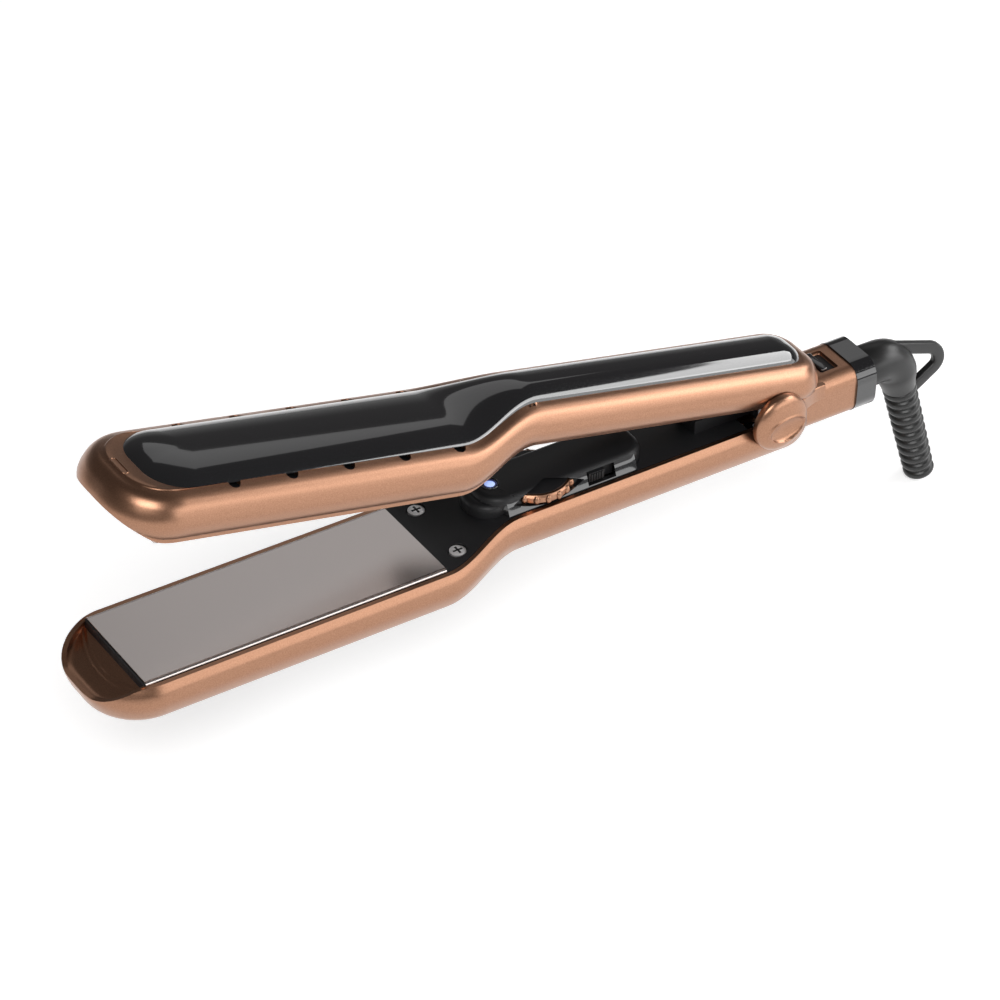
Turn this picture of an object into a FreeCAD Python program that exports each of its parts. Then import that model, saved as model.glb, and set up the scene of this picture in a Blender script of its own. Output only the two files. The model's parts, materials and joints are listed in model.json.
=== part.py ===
import FreeCAD, Part
import Sketcher
import math
import os
import re
from FreeCAD import Placement, Rotation, Vector

# Hair straightening iron. Millimetres, +Z up, X from the nose (-X) to the cord (+X).
# The origin is on the flat underside of the lower outer cover, below the middle of the plates.
# The lower arm lies level. The upper arm is drawn closed and then swung open about the hinge pin.

doc = FreeCAD.newDocument("HairStraightener")
sheet = doc.addObject("Spreadsheet::Sheet", "Sizes")
layout = doc.addObject("App::VarSet", "Layout")

SIZES = {
    # heating plates
    "plate_length": 109.0,
    "plate_width": 38.0,
    "plate_thickness": 2.6,
    "plate_edge_radius": 1.2,
    "plate_gap_closed": 0.3,
    "channel_width": 20.0,
    "channel_wall": 1.6,
    "channel_depth": 5.0,
    "heater_length": 90.0,
    "heater_thickness": 3.2,
    "carrier_gap": 1.2,
    "carrier_wall": 1.6,
    "carrier_post": 2.0,
    "carrier_front_post": 22.0,
    "carrier_rear_post": 14.0,
    "carrier_post_inset": 4.4,
    "clamp_thickness": 0.6,
    "sensor_radius": 1.1,
    # arms: edge section, from the rim down to the crown of the outer cover
    "arm_depth": 19.5,
    "seam_share": 0.79,
    "arm_gap": 1.4,
    "arm_setback": 1.45,
    "lip_drop": 1.0,
    "lip_inset": 2.2,
    "head_width": 46.4,
    "wall": 1.5,
    "cover_wall": 1.8,
    "cover_ledge": 2.0,
    "cover_setback": 13.5,
    "cover_nose_radius": 13.0,
    "cover_tail_radius": 7.0,
    "cover_tail_setback": 7.5,
    "nose_length": 14.5,
    "nose_radius": 15.0,
    "nose_step": 3.9,
    "nose_fall": 3.6,
    "nose_sag": 1.2,
    "neck_length": 31.5,
    "handle_width": 31.4,
    "lower_rim_rise": 5.4,
    "lower_crown_rise": 5.5,
    "upper_rim_rise": 8.4,
    "upper_crown_rise": 6.5,
    "tail_length": 21.5,
    "tail_radius": 12.0,
    "tail_relief": 2.8,
    # inner covers
    "inner_cover_thickness": 2.0,
    "inner_cover_gap": 0.3,
    "sleeve_room": 0.3,
    "upper_cover_recess": 3.2,
    "screw_setback": 8.3,
    "screw_spacing": 24.6,
    "screw_head_radius": 2.75,
    "screw_head_height": 1.6,
    "screw_shank_radius": 1.3,
    "screw_length": 8.0,
    "boss_radius": 3.2,
    "boss_drop": 1.0,
    "cross_width": 0.9,
    "cross_depth": 1.0,
    "screw_sink": 0.1,
    "screw_seat_room": 0.35,
    "screw_seat_drop": 0.12,
    "screw_hole_room": 0.1,
    # vents
    "vent_count": 5,
    "vent_pitch": 20.7,
    "vent_first": 24.3,
    "vent_radius": 2.3,
    # hinge
    "hinge_run": 131.2,
    "hinge_height": 7.4,
    "opening_angle": 12.34,
    "pin_radius": 2.0,
    "pin_clearance": 0.05,
    "pin_half_length": 15.6,
    "lug_inner": 5.6,
    "lug_outer": 8.6,
    "lug_radius": 4.6,
    "bush_wall": 0.8,
    "side_clearance": 0.4,
    "cap_radius": 10.3,
    "cap_height": 2.6,
    "cap_seat": 16.1,
    "cap_skirt": 0.6,
    "dish_radius": 5.4,
    "dish_depth": 0.7,
    "spring_wire": 0.9,
    "spring_turns": 3,
    "spring_leg": 6.4,
    "saddle_length": 26.0,
    "saddle_rise": 2.0,
    # control pod
    "pod_start": 22.0,
    "pod_length": 62.0,
    "pod_width": 19.0,
    "pod_top": 10.8,
    "pod_wall": 1.3,
    "pod_clearance": 0.1,
    "pod_edge_radius": 2.4,
    "bumper_depth": 3.0,
    "led_run": 28.1,
    "led_radius": 2.2,
    "bezel_radius": 3.0,
    "dial_run": 44.6,
    "dial_radius": 13.8,
    "dial_thickness": 4.0,
    "dial_mid": 7.2,
    "dial_bumps": 20,
    "dial_shaft_radius": 2.5,
    "pot_gap": 1.3,
    "switch_run": 63.0,
    "switch_travel": 3.5,
    "switch_length": 6.0,
    "switch_height": 3.4,
    "switch_mid": 6.9,
    # rear sleeve and cord outlet
    "sleeve_start": 10.0,
    "sleeve_step": 24.2,
    "sleeve_length": 36.4,
    "sleeve_width": 22.0,
    "sleeve_height": 18.0,
    "sleeve_mid": 1.6,
    "sleeve_corner": 6.0,
    "sleeve_neck_top": 7.6,
    "tab_inner": 12.6,
    "tab_radius": 2.9,
    "tab_outer": 15.2,
    "tab_overlap": 2.0,
    "collar_length": 8.0,
    "collar_proud": 0.6,
    "swivel_radius": 5.0,
    "swivel_clearance": 0.08,
    "flange_radius": 6.3,
    "flange_thickness": 2.0,
    "elbow_radius": 7.4,
    "elbow_reach": 15.5,
    "relief_angle": 72.0,
    "relief_length": 58.0,
    "relief_radius": 6.0,
    "relief_rib": 0.7,
    "relief_ribs": 11,
    "relief_taper": 0.5,
    "cord_radius": 3.2,
    "loop_thickness": 3.0,
    "loop_rod": 2.2,
    "lock_length": 2.6,
    "lock_width": 10.0,
    "lock_height": 2.2,
    "lock_recess": 1.6,
    "lock_gap": 0.35,
    "board_thickness": 1.6,
    "board_depth": 5.8,
    "bend_radius": 9.0,
    "relief_plain": 14.0,
    "elbow_gap": 0.35,
    "sleeve_wall": 2.7,
    "flange_gap": 0.3,
    "lock_travel": 4.0,
}

for line, (alias, number) in enumerate(SIZES.items(), start=1):
    sheet.set(f"A{line}", alias)
    sheet.set(f"B{line}", str(number))
    sheet.setAlias(f"B{line}", alias)
doc.recompute()

# Places that follow from the sizes, each worked out from the sheet.
PLACES = {
    "plate_rear": "plate_length / 2",
    "nose_x": "-plate_length / 2 - nose_length",
    "lower_face": "arm_depth",
    "upper_face": "arm_depth + arm_gap",
    "hinge_x": "plate_length / 2 + hinge_run",
    "hinge_z": "arm_depth + hinge_height",
    "tail_x": "hinge_x + tail_length",
    "head_half": "head_width / 2",
    "handle_half": "handle_width / 2",
    "lower_handle_rim": "arm_depth - lip_drop + lower_rim_rise",
    "cover_front": "nose_x + cover_setback",
    "screw_x": "plate_rear + screw_setback",
    "pod_x": "plate_rear + pod_start",
    "pod_z": "arm_depth + pod_top",
    "led_x": "plate_rear + led_run",
    "dial_x": "plate_rear + dial_run",
    "dial_z": "arm_depth + dial_mid",
    "switch_x": "plate_rear + switch_run",
    "switch_z": "arm_depth + switch_mid",
    "sleeve_x": "hinge_x + sleeve_start",
    "sleeve_shoulder": "hinge_x + sleeve_step",
    "sleeve_end": "hinge_x + sleeve_length",
    "axis_z": "arm_depth + sleeve_mid",
    "sleeve_top": "axis_z + sleeve_height / 2",
    "collar_end": "sleeve_end + collar_length",
    "elbow_x": "collar_end + elbow_reach",
    "swivel_bore": "swivel_radius + swivel_clearance",
}


def linked(text):
    """The same expression with every size and place named through its own sheet or variable set."""

    def full_name(match):
        word = match.group()
        if word in SIZES:
            return "Sizes." + word
        if word in PLACES:
            return "Layout." + word
        return word

    return re.sub(r"[a-z][a-z_]*", full_name, text)


for place, rule in PLACES.items():
    layout.addProperty("App::PropertyFloat", place, "Places")
    layout.setExpression(place, linked(rule))
doc.recompute()


def val(name):
    """A size from the sheet, or a place that follows from the sizes."""
    return float(sheet.get(name)) if name in SIZES else float(getattr(layout, name))


class Values:
    def __getattr__(self, name):
        return val(name)


s = Values()


# ---------------------------------------------------------------- small builders

def bind(item, **rules):
    for prop, rule in rules.items():
        item.setExpression(prop.replace("__", "."), linked(rule))


def block(name, x, y, z):
    """A box from three (low, high) pairs of expressions."""
    item = doc.addObject("Part::Box", name)
    bind(item, Length=f"({x[1]}) - ({x[0]})", Width=f"({y[1]}) - ({y[0]})", Height=f"({z[1]}) - ({z[0]})")
    bind(item, Placement__Base__x=x[0], Placement__Base__y=y[0], Placement__Base__z=z[0])
    return item


AXIS_TURNS = {
    "z": Rotation(),
    "x": Rotation(Vector(0, 1, 0), 90),
    "y": Rotation(Vector(1, 0, 0), -90),
}


def rod(name, axis, radius, start, length):
    """A cylinder along an axis, from a start point, all as expressions."""
    item = doc.addObject("Part::Cylinder", name)
    item.Placement = Placement(Vector(), AXIS_TURNS[axis])
    bind(item, Radius=radius, Height=length)
    bind(item, Placement__Base__x=start[0], Placement__Base__y=start[1], Placement__Base__z=start[2])
    return item


def union(name, *items):
    item = doc.addObject("Part::MultiFuse", name)
    item.Shapes = list(items)
    return item


def minus(name, base, *tools):
    item = doc.addObject("Part::Cut", name)
    item.Base = base
    item.Tool = tools[0] if len(tools) == 1 else union(name + "_tools", *tools)
    return item


def solid(name, shape):
    item = doc.addObject("Part::Feature", name)
    item.Shape = shape
    return item


def mirrored(y):
    """The expressions of a (low, high) pair on the other side of the middle plane."""
    return (f"-({y[1]})", f"-({y[0]})")


NODES = []


def node(item, name, swing=False):
    """Marks an object as a finished piece; the upper arm's pieces are swung open about the hinge."""
    if swing and item.TypeId in ("Part::Box", "Part::Cylinder"):
        holder = doc.addObject("Part::Compound", item.Name + "_placed")
        holder.Links = [item]
        item = holder
    item.Label = name
    if swing:
        pivot = Vector(s.hinge_x, 0, s.hinge_z)
        turn = Placement(Vector(), Rotation(Vector(0, 1, 0), s.opening_angle), pivot)
        item.Placement = turn.multiply(item.Placement)
    NODES.append(item)
    return item


# ---------------------------------------------------------------- moulded arm shapes

class Arm:
    """One arm, closed: its contact plane, the way its depth runs, and how far its handle is raised."""

    def __init__(self, name, depth_way, face, rim_rise, crown_rise, setback, recess):
        self.name = name
        self.depth_way = depth_way
        self.face = face
        self.face_name = name + "_face"
        self.rim = face + depth_way * s.lip_drop
        self.crown = face + depth_way * s.arm_depth
        self.rim_rise = rim_rise
        self.crown_rise = crown_rise
        self.setback = setback
        self.recess = recess
        self.swings = depth_way > 0

    def layer(self, near, far):
        """A (low, high) pair of expressions for a slab between two depths below the contact plane."""
        if self.depth_way > 0:
            return (f"upper_face + ({near})", f"upper_face + ({far})")
        return (f"lower_face - ({far})", f"lower_face - ({near})")

    def at(self, x):
        """Half-width, rim height and crown height where the arm is cut across at x."""
        run = (x - self.setback - s.plate_rear) / s.neck_length
        run = min(max(run, 0.0), 1.0)
        blend = run * run * (3.0 - 2.0 * run)
        half = s.head_half + (s.handle_half - s.head_half) * blend
        return half, self.rim + self.rim_rise * blend, self.crown + self.crown_rise * blend


LOWER = Arm("lower", -1, s.lower_face, s.lower_rim_rise, s.lower_crown_rise, 0.0, 0.0)
UPPER = Arm(
    "upper", 1, s.upper_face, s.upper_rim_rise, s.upper_crown_rise, s.arm_setback,
    s.upper_cover_recess)

# Edge sections as (inset from the widest outline, share of the depth from rim to crown).
WAIST_SHARE = 0.35
SHOULDER_INSET = 1.9
SHOULDER_SHARE = 0.60
SEAM_INSET = 6.7
SEAM_SHARE = s.seam_share
HOUSING_EDGE = [
    (s.lip_inset, 0.0),
    (0.55, 0.17),
    (0.0, WAIST_SHARE),
    (SHOULDER_INSET, SHOULDER_SHARE),
    (4.1, 0.73),
    (SEAM_INSET, SEAM_SHARE),
]
COVER_EDGE = [
    (SEAM_INSET, SEAM_SHARE),
    (SEAM_INSET + 0.25, 0.86),
    (SEAM_INSET + 1.5, 0.955),
    (SEAM_INSET + 4.2, 1.0),
]


def inner_edge(wall, open_share):
    """The inside of the housing wall, carried past the rim so that the shell is open there."""
    floor = SEAM_SHARE - wall / s.arm_depth
    return [
        (s.lip_inset + wall, open_share),
        (s.lip_inset + wall, 0.0),
        (wall + 0.3, WAIST_SHARE),
        (SHOULDER_INSET + wall, floor - 0.12),
        (SEAM_INSET, floor),
    ]


def inside_cover(wall):
    """The hollow of the outer cover, open at its base."""
    return [
        (SEAM_INSET + wall, SEAM_SHARE - 0.02),
        (SEAM_INSET + wall + 0.2, 0.86 - wall / s.arm_depth / 2),
        (SEAM_INSET + wall + 2.6, 1.0 - wall / s.arm_depth),
    ]


def edge_curve(points, smooth):
    if smooth:
        curve = Part.BSplineCurve()
        curve.interpolate(points)
        return [curve.toShape()]
    return [Part.LineSegment(a, b).toShape() for a, b in zip(points, points[1:])]


def across(arm, x, edge, smooth):
    """The closed wire of an arm section at x, both sides."""
    half, rim, crown = arm.at(x)
    left = [Vector(x, half - inset, rim + share * (crown - rim)) for inset, share in edge]
    right = [Vector(p.x, -p.y, p.z) for p in left]
    edges = edge_curve(left, smooth)
    edges.append(Part.LineSegment(left[-1], right[-1]).toShape())
    edges += edge_curve(right[::-1], smooth)
    edges.append(Part.LineSegment(right[0], left[0]).toShape())
    return Part.Wire(edges)


def corner(arm, x, radius, side, way, edge, smooth):
    """A quarter turn of the edge section about the upright line through a corner's centre."""
    half, rim, crown = arm.at(x)
    outer = edge[0][0]
    middle = side * (half - outer - radius)
    ring = [
        Vector(x + way * (radius - inset + outer), middle, rim + share * (crown - rim))
        for inset, share in edge
    ]
    foot = Vector(x, middle, ring[0].z)
    head = Vector(x, middle, ring[-1].z)
    edges = edge_curve(ring, smooth)
    edges.append(Part.LineSegment(ring[-1], head).toShape())
    edges.append(Part.LineSegment(head, foot).toShape())
    edges.append(Part.LineSegment(foot, ring[0]).toShape())
    face = Part.Face(Part.Wire(edges))
    turn = 90 * side * way
    quarter = face.revolve(Vector(x, middle, 0), Vector(0, 0, 1), turn)
    return face, middle, quarter


def rounded_end(arm, x, radius, way, edge, smooth):
    """Both corners of an arm's end and the straight front between them."""
    face, middle, first = corner(arm, x, radius, 1, way, edge, smooth)
    second = corner(arm, x, radius, -1, way, edge, smooth)[2]
    front = face.extrude(Vector(0, -2 * middle, 0))
    return [first, second, front]


NECK_STEPS = 8


def lofted(arm, start, end, steps, edge, smooth):
    """A run of the arm between two cut positions, through evenly spaced sections."""
    places = [start + (end - start) * i / steps for i in range(steps + 1)]
    wires = [across(arm, x, edge, smooth) for x in places]
    return Part.makeLoft(wires, True, steps == 1)


def arm_run(arm, start, end, edge, smooth):
    """The straight head, the curved neck and the straight handle between two cut positions."""
    neck = s.plate_rear + arm.setback
    handle = neck + s.neck_length
    runs = []
    if start < neck:
        runs.append(lofted(arm, start, neck, 1, edge, smooth))
    runs.append(lofted(arm, max(start, neck), handle, NECK_STEPS, edge, smooth))
    runs.append(lofted(arm, handle, end, 1, edge, smooth))
    return runs


def moulded(arm, edge, front, front_radius, rear, rear_radius, smooth=True):
    """An arm-shaped solid: rounded nose, head, neck, handle and rounded tail."""
    nose_x = front + front_radius
    tail_x = rear - rear_radius
    parts = arm_run(arm, nose_x, tail_x, edge, smooth)
    parts += rounded_end(arm, nose_x, front_radius, -1, edge, smooth)
    parts += rounded_end(arm, tail_x, rear_radius, 1, edge, smooth)
    return parts[0].fuse(parts[1:]).removeSplitter()


def cavity(arm, wall):
    """The inside of the housing, from beyond the rim to the inner face of the deck."""
    edge = inner_edge(wall, -0.25)
    return moulded(
        arm, edge,
        s.nose_x + s.lip_inset + wall + arm.setback, s.nose_radius - s.lip_inset - wall,
        s.tail_x - s.lip_inset - wall + arm.setback, s.tail_radius - s.lip_inset - wall,
        smooth=False,
    )


def nose_scoop(arm, drop):
    """The hollow sweep of the nose, from the front edge of the plate to the tip."""
    way = arm.depth_way
    near = arm.face + way * (s.nose_step + drop)
    far = near + way * s.nose_fall
    start = Vector(-s.plate_length / 2, 0, near)
    end = Vector(s.nose_x + arm.setback - 1.0, 0, far)
    middle = (start + end) * 0.5 + Vector(0, 0, way * s.nose_sag)
    top = arm.face - way * s.arm_depth
    edges = [
        Part.Arc(start, middle, end).toShape(),
        Part.LineSegment(end, Vector(end.x, 0, top)).toShape(),
        Part.LineSegment(Vector(end.x, 0, top), Vector(start.x, 0, top)).toShape(),
        Part.LineSegment(Vector(start.x, 0, top), start).toShape(),
    ]
    reach = s.head_width
    face = Part.Face(Part.Wire(edges))
    face.translate(Vector(0, -reach, 0))
    return face.extrude(Vector(0, 2 * reach, 0))


def cover_shape(arm, edge, grow):
    """The outline of the outer cover, drawn in by the given amount, with its own edge section."""
    return moulded(
        arm, edge,
        s.cover_front + arm.setback + grow, s.cover_nose_radius - grow,
        s.tail_x - s.cover_tail_setback + arm.setback - grow, s.cover_tail_radius - grow,
    )


def cover_opening(arm):
    """The hole through the deck under the outer cover, smaller than the cover by its ledge."""
    edge = [
        (SEAM_INSET + s.cover_ledge, SEAM_SHARE - 0.2),
        (SEAM_INSET + s.cover_ledge, SEAM_SHARE + 0.02),
    ]
    return moulded(
        arm, edge,
        s.cover_front + arm.setback + s.cover_ledge, s.cover_nose_radius - s.cover_ledge,
        s.tail_x - s.cover_tail_setback + arm.setback - s.cover_ledge,
        s.cover_tail_radius - s.cover_ledge,
        smooth=False,
    )


def vent_cutters(arm):
    """Upright round notches along both seams between housing and outer cover."""
    cutters = []
    for index in range(int(s.vent_count)):
        x = -s.plate_length / 2 + s.vent_first + arm.setback + index * s.vent_pitch
        seam = arm.at(x)[0] - SEAM_INSET
        for side in (-1, 1):
            base = Vector(x, side * seam, arm.face + arm.depth_way * s.arm_depth * 0.55)
            cutters.append(Part.makeCylinder(
                s.vent_radius, s.arm_depth * 0.4, base, Vector(0, 0, arm.depth_way)))
    return cutters


def screw_places(arm):
    x = s.screw_x + arm.setback
    return [(x, side * s.screw_spacing / 2) for side in (-1, 1)]


def boss_shapes(arm):
    """Screw bosses standing on the deck of the housing, up to the underside of the inner cover."""
    bosses = []
    for x, y in screw_places(arm):
        half, rim, crown = arm.at(x)
        deck = rim + (SEAM_SHARE - 0.5 * s.wall / s.arm_depth) * (crown - rim)
        top = rim + arm.depth_way * (arm.recess + s.inner_cover_thickness + s.boss_drop)
        height = abs(deck - top)
        base = Vector(x, y, top)
        boss = Part.makeCylinder(s.boss_radius, height, base, Vector(0, 0, arm.depth_way))
        hole = Part.makeCylinder(
            s.screw_shank_radius, s.screw_length, base, Vector(0, 0, arm.depth_way))
        bosses.append(boss.cut(hole))
    return bosses


def tail_relief():
    """The room above the cord sleeve, where the tail of the upper arm has its rim raised."""
    low = UPPER.face - s.arm_depth
    top = UPPER.rim + UPPER.rim_rise + s.tail_relief
    return Part.makeBox(
        s.tail_length + s.arm_setback + s.wall, s.head_width, top - low,
        Vector(s.hinge_x, -s.head_width / 2, low))


def rounded_bar(x0, x1, width, height, radius, middle_z):
    """A bar along X with a rounded rectangular section."""
    bar = Part.makeBox(x1 - x0, width, height, Vector(x0, -width / 2, middle_z - height / 2))
    long_edges = [e for e in bar.Edges if abs(e.tangentAt(e.FirstParameter).x) > 0.9]
    return bar.makeFillet(radius, long_edges)


def sleeve_outline(grow):
    """The outside of the rear sleeve: a low neck under the tails and the full section behind them."""
    height = s.sleeve_height + 2 * grow
    width = s.sleeve_width + 2 * grow
    full = rounded_bar(
        s.sleeve_x - grow, s.sleeve_end, width, height, s.sleeve_corner + grow, s.axis_z)
    neck_top = s.lower_face + s.sleeve_neck_top
    above = Part.makeBox(
        s.sleeve_shoulder - s.sleeve_x + grow, width, height,
        Vector(s.sleeve_x - grow, -width / 2, neck_top + grow))
    return full.cut(above)


def housing_shape(arm):
    """The housing: outer skin, hollow, nose scoop, cover opening, vents and screw bosses."""
    shell = moulded(
        arm, HOUSING_EDGE, s.nose_x + s.lip_inset + arm.setback, s.nose_radius - s.lip_inset,
        s.tail_x - s.lip_inset + arm.setback, s.tail_radius - s.lip_inset)
    shell = shell.cut(cavity(arm, s.wall).cut(nose_scoop(arm, s.wall)))
    shell = shell.cut(nose_scoop(arm, 0.0))
    shell = shell.cut(cover_opening(arm))
    shell = shell.cut(vent_cutters(arm))
    shell = shell.fuse(boss_shapes(arm))
    if arm is UPPER:
        return shell.cut(tail_relief())
    return shell.cut(sleeve_outline(s.sleeve_room))


def outer_cover_shape(arm):
    outside = cover_shape(arm, COVER_EDGE, 0.0)
    return outside.cut(cover_shape(arm, inside_cover(s.cover_wall), s.cover_wall))


def pod_block(grow, lift, shift):
    """The footprint block of the control pod, drawn in by grow, with rounded ends."""
    half = s.pod_width / 2 - grow
    length = s.pod_length - 2 * grow
    low = s.lower_face - 1.0
    block_shape = Part.makeBox(
        length, 2 * half, s.pod_z - lift - low, Vector(s.pod_x + grow + shift, -half, low))
    upright = [e for e in block_shape.Edges if abs(e.tangentAt(e.FirstParameter).z) > 0.9]
    return block_shape.makeFillet(half - 1.0, upright)


def inner_cover_shape(arm):
    """The matte cover between the plate and the hinge, with its screw holes."""
    inset = s.lip_inset + s.wall + s.inner_cover_gap
    top = arm.recess / s.arm_depth
    edge = [(inset, top), (inset, top + s.inner_cover_thickness / s.arm_depth)]
    start = s.plate_rear + s.inner_cover_gap
    end = s.hinge_x - 2 * s.lug_radius
    runs = arm_run(arm, start + arm.setback, end, edge, False)
    shape = runs[0].fuse(runs[1:]).removeSplitter()
    for x, y in screw_places(arm):
        rim = arm.at(x)[1] + arm.depth_way * arm.recess
        way = Vector(0, 0, arm.depth_way)
        foot = Vector(x, y, rim - arm.depth_way * s.wall)
        seat = Part.makeCylinder(
            s.screw_head_radius + s.screw_seat_room,
            s.wall + s.screw_head_height + s.screw_seat_drop, foot, way)
        hole = Part.makeCylinder(
            s.screw_shank_radius + s.screw_hole_room, s.screw_length, foot, way)
        shape = shape.cut([seat, hole])
    if arm is LOWER:
        shape = shape.cut(pod_block(-s.pod_clearance, 0.0, 0.0))
    return shape


# ---------------------------------------------------------------- the two arms

def heating_plate(arm):
    """A flat extruded plate with rolled long edges and a channel below it for the heater."""
    name = arm.name + "_plate"
    gap = "0" if arm is LOWER else "plate_gap_closed - arm_gap"
    body = doc.addObject("PartDesign::Body", name)
    origin = {f.Role: f for f in body.Origin.OriginFeatures}
    plane = "lower_face" if arm is LOWER else f"upper_face + ({gap})"
    way = arm.depth_way

    face = rectangle(body, origin, name + "_outline", "plate_length", "plate_width", "0")
    bind(face, AttachmentOffset__Base__z=plane)
    slab = body.newObject("PartDesign::Pad", name + "_slab")
    slab.Profile = face
    slab.Reversed = way < 0
    bind(slab, Length="plate_thickness")
    doc.recompute()

    for side in (-1, 1):
        offset = f"({side}) * (channel_width + channel_wall) / 2"
        rib = rectangle(body, origin, f"{name}_rib_{side + 1}", "heater_length", "channel_wall", offset)
        bind(rib, AttachmentOffset__Base__z=f"{plane} + ({way}) * plate_thickness / 2")
        wall = body.newObject("PartDesign::Pad", f"{name}_rib_pad_{side + 1}")
        wall.Profile = rib
        wall.Reversed = way < 0
        bind(wall, Length="channel_depth + plate_thickness / 2")
    doc.recompute()

    rim_z = val("lower_face") if arm is LOWER else s.upper_face + s.plate_gap_closed - s.arm_gap
    last = body.Tip.Shape
    long_edges = [
        f"Edge{i}" for i, e in enumerate(last.Edges, start=1)
        if abs(e.BoundBox.ZMin - rim_z) < 1e-3 and abs(e.BoundBox.ZMax - rim_z) < 1e-3
        and e.BoundBox.XLength > s.plate_length - 1e-3
    ]
    base = body.Tip
    roll = body.newObject("PartDesign::Fillet", name + "_rolled_edges")
    roll.Base = (base, long_edges)
    bind(roll, Radius="plate_edge_radius")
    doc.recompute()
    return node(body, name, arm.swings)


def rectangle(body, origin, name, length, width, offset):
    """A centred rectangle sketch on the body's own XY plane, held by constraints."""
    sketch = body.newObject("Sketcher::SketchObject", name)
    sketch.AttachmentSupport = (origin["XY_Plane"], "")
    sketch.MapMode = "FlatFace"
    half_x, half_y = 5.0, 2.0
    points = [(-half_x, -half_y), (half_x, -half_y), (half_x, half_y), (-half_x, half_y)]
    for a, b in zip(points, points[1:] + points[:1]):
        sketch.addGeometry(Part.LineSegment(Vector(*a, 0), Vector(*b, 0)), False)
    for index in range(4):
        sketch.addConstraint(Sketcher.Constraint("Coincident", index, 2, (index + 1) % 4, 1))
    for index in (0, 2):
        sketch.addConstraint(Sketcher.Constraint("Horizontal", index))
    for index in (1, 3):
        sketch.addConstraint(Sketcher.Constraint("Vertical", index))
    sketch.addConstraint(Sketcher.Constraint("DistanceX", 0, 1, 0, 2, 2 * half_x))
    sketch.addConstraint(Sketcher.Constraint("DistanceY", 1, 1, 1, 2, 2 * half_y))
    sketch.addConstraint(Sketcher.Constraint("Symmetric", 0, 1, 1, 2, -1, 1))
    sketch.renameConstraint(8, "length")
    sketch.renameConstraint(9, "width")
    sketch.setExpression("Constraints.length", linked(length))
    sketch.setExpression("Constraints.width", linked(width))
    bind(sketch, AttachmentOffset__Base__y=offset)
    return sketch


def plate_carrier(arm):
    """The black tray that holds the plate, on four posts that stand on the deck of the housing."""
    name = arm.name + "_plate_carrier"
    under = "plate_thickness + channel_depth + carrier_gap"
    base = f"{under} + carrier_wall"
    length = ("-plate_length / 2 + 1", "plate_length / 2 - 1")
    half = "plate_width / 2 - 0.9"
    tray = block(name + "_tray", length, (f"-({half}) + 0.5", f"{half} - 0.5"), arm.layer(under, base))
    pieces = [tray]
    rail = (f"{half} - 1.5", half)
    for tag, pair in (("far", rail), ("near", mirrored(rail))):
        pieces.append(block(
            f"{name}_rail_{tag}", length, pair, arm.layer("plate_thickness + plate_gap_closed", base)))
    deck = "lip_drop + (arm_depth - lip_drop) * (seam_share - wall / arm_depth) - 0.05"
    for tag_x, x in (
        ("front", "-plate_length / 2 + carrier_front_post"),
        ("rear", "plate_length / 2 - carrier_rear_post"),
    ):
        for tag_y, way in (("near", "-1"), ("far", "1")):
            y = f"({way}) * (plate_width / 2 - carrier_post_inset)"
            low, high = arm.layer(f"{base} - 0.5", deck)
            pieces.append(rod(
                f"{name}_post_{tag_x}_{tag_y}", "z", "carrier_post", (x, y, low), f"({high}) - ({low})"))
    return node(union(name + "_whole", *pieces), name, arm.swings)


def heater_parts(arm):
    """The ceramic heater in the plate's channel, the clamp that presses on it and a sensor."""
    top = "plate_thickness" if arm is LOWER else "plate_thickness - (arm_gap - plate_gap_closed)"
    heater = block(
        arm.name + "_heater_slab",
        ("-heater_length / 2 + 2", "heater_length / 2 - 2"),
        ("-channel_width / 2 + 0.4", "channel_width / 2 - 0.4"),
        arm.layer(top, f"{top} + heater_thickness"))
    node(heater, arm.name + "_heater", arm.swings)
    clamp = block(
        arm.name + "_clamp_strip",
        ("-heater_length / 2 + 6", "heater_length / 2 - 6"), ("-4", "4"),
        arm.layer(f"{top} + heater_thickness", f"{top} + heater_thickness + clamp_thickness"))
    feet = []
    for tag, x in (("front", "-heater_length / 4"), ("rear", "heater_length / 4")):
        feet.append(block(
            f"{arm.name}_clamp_foot_{tag}", (f"{x} - 3", f"{x} + 3"), ("-3", "3"),
            arm.layer(
                f"{top} + heater_thickness + clamp_thickness / 2",
                "plate_thickness + channel_depth + carrier_gap")))
    node(union(arm.name + "_clamp_whole", clamp, *feet), arm.name + "_heater_clamp", arm.swings)
    sensor_z = f"{arm.face_name} + ({arm.depth_way}) * ({top} + heater_thickness + sensor_radius + 0.1)"
    sensor = rod(
        arm.name + "_sensor_bead", "x", "sensor_radius", ("-6", "channel_width / 4 + 1.2", sensor_z), "8")
    node(sensor, arm.name + "_thermistor", arm.swings)


def cover_screws(arm):
    """Two cross-head screws that hold the inner cover."""
    screws = []
    way = Vector(0, 0, arm.depth_way)
    for x, y in screw_places(arm):
        rim = arm.at(x)[1] + arm.depth_way * (arm.recess + s.screw_sink)
        top = Vector(x, y, rim)
        head = Part.makeCylinder(s.screw_head_radius, s.screw_head_height, top, way)
        shank = Part.makeCylinder(s.screw_shank_radius, s.screw_length, top, way)
        screw = head.fuse(shank)
        reach = s.screw_head_radius * 0.62
        low = min(rim, rim + arm.depth_way * s.cross_depth)
        for length, width in ((reach, s.cross_width / 2), (s.cross_width / 2, reach)):
            slot = Part.makeBox(
                2 * length, 2 * width, s.cross_depth, Vector(x - length, y - width, low))
            screw = screw.cut(slot)
        screws.append(screw)
    group = solid(arm.name + "_screw_pair", Part.makeCompound(screws))
    return node(group, arm.name + "_cover_screws", arm.swings)


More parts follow.
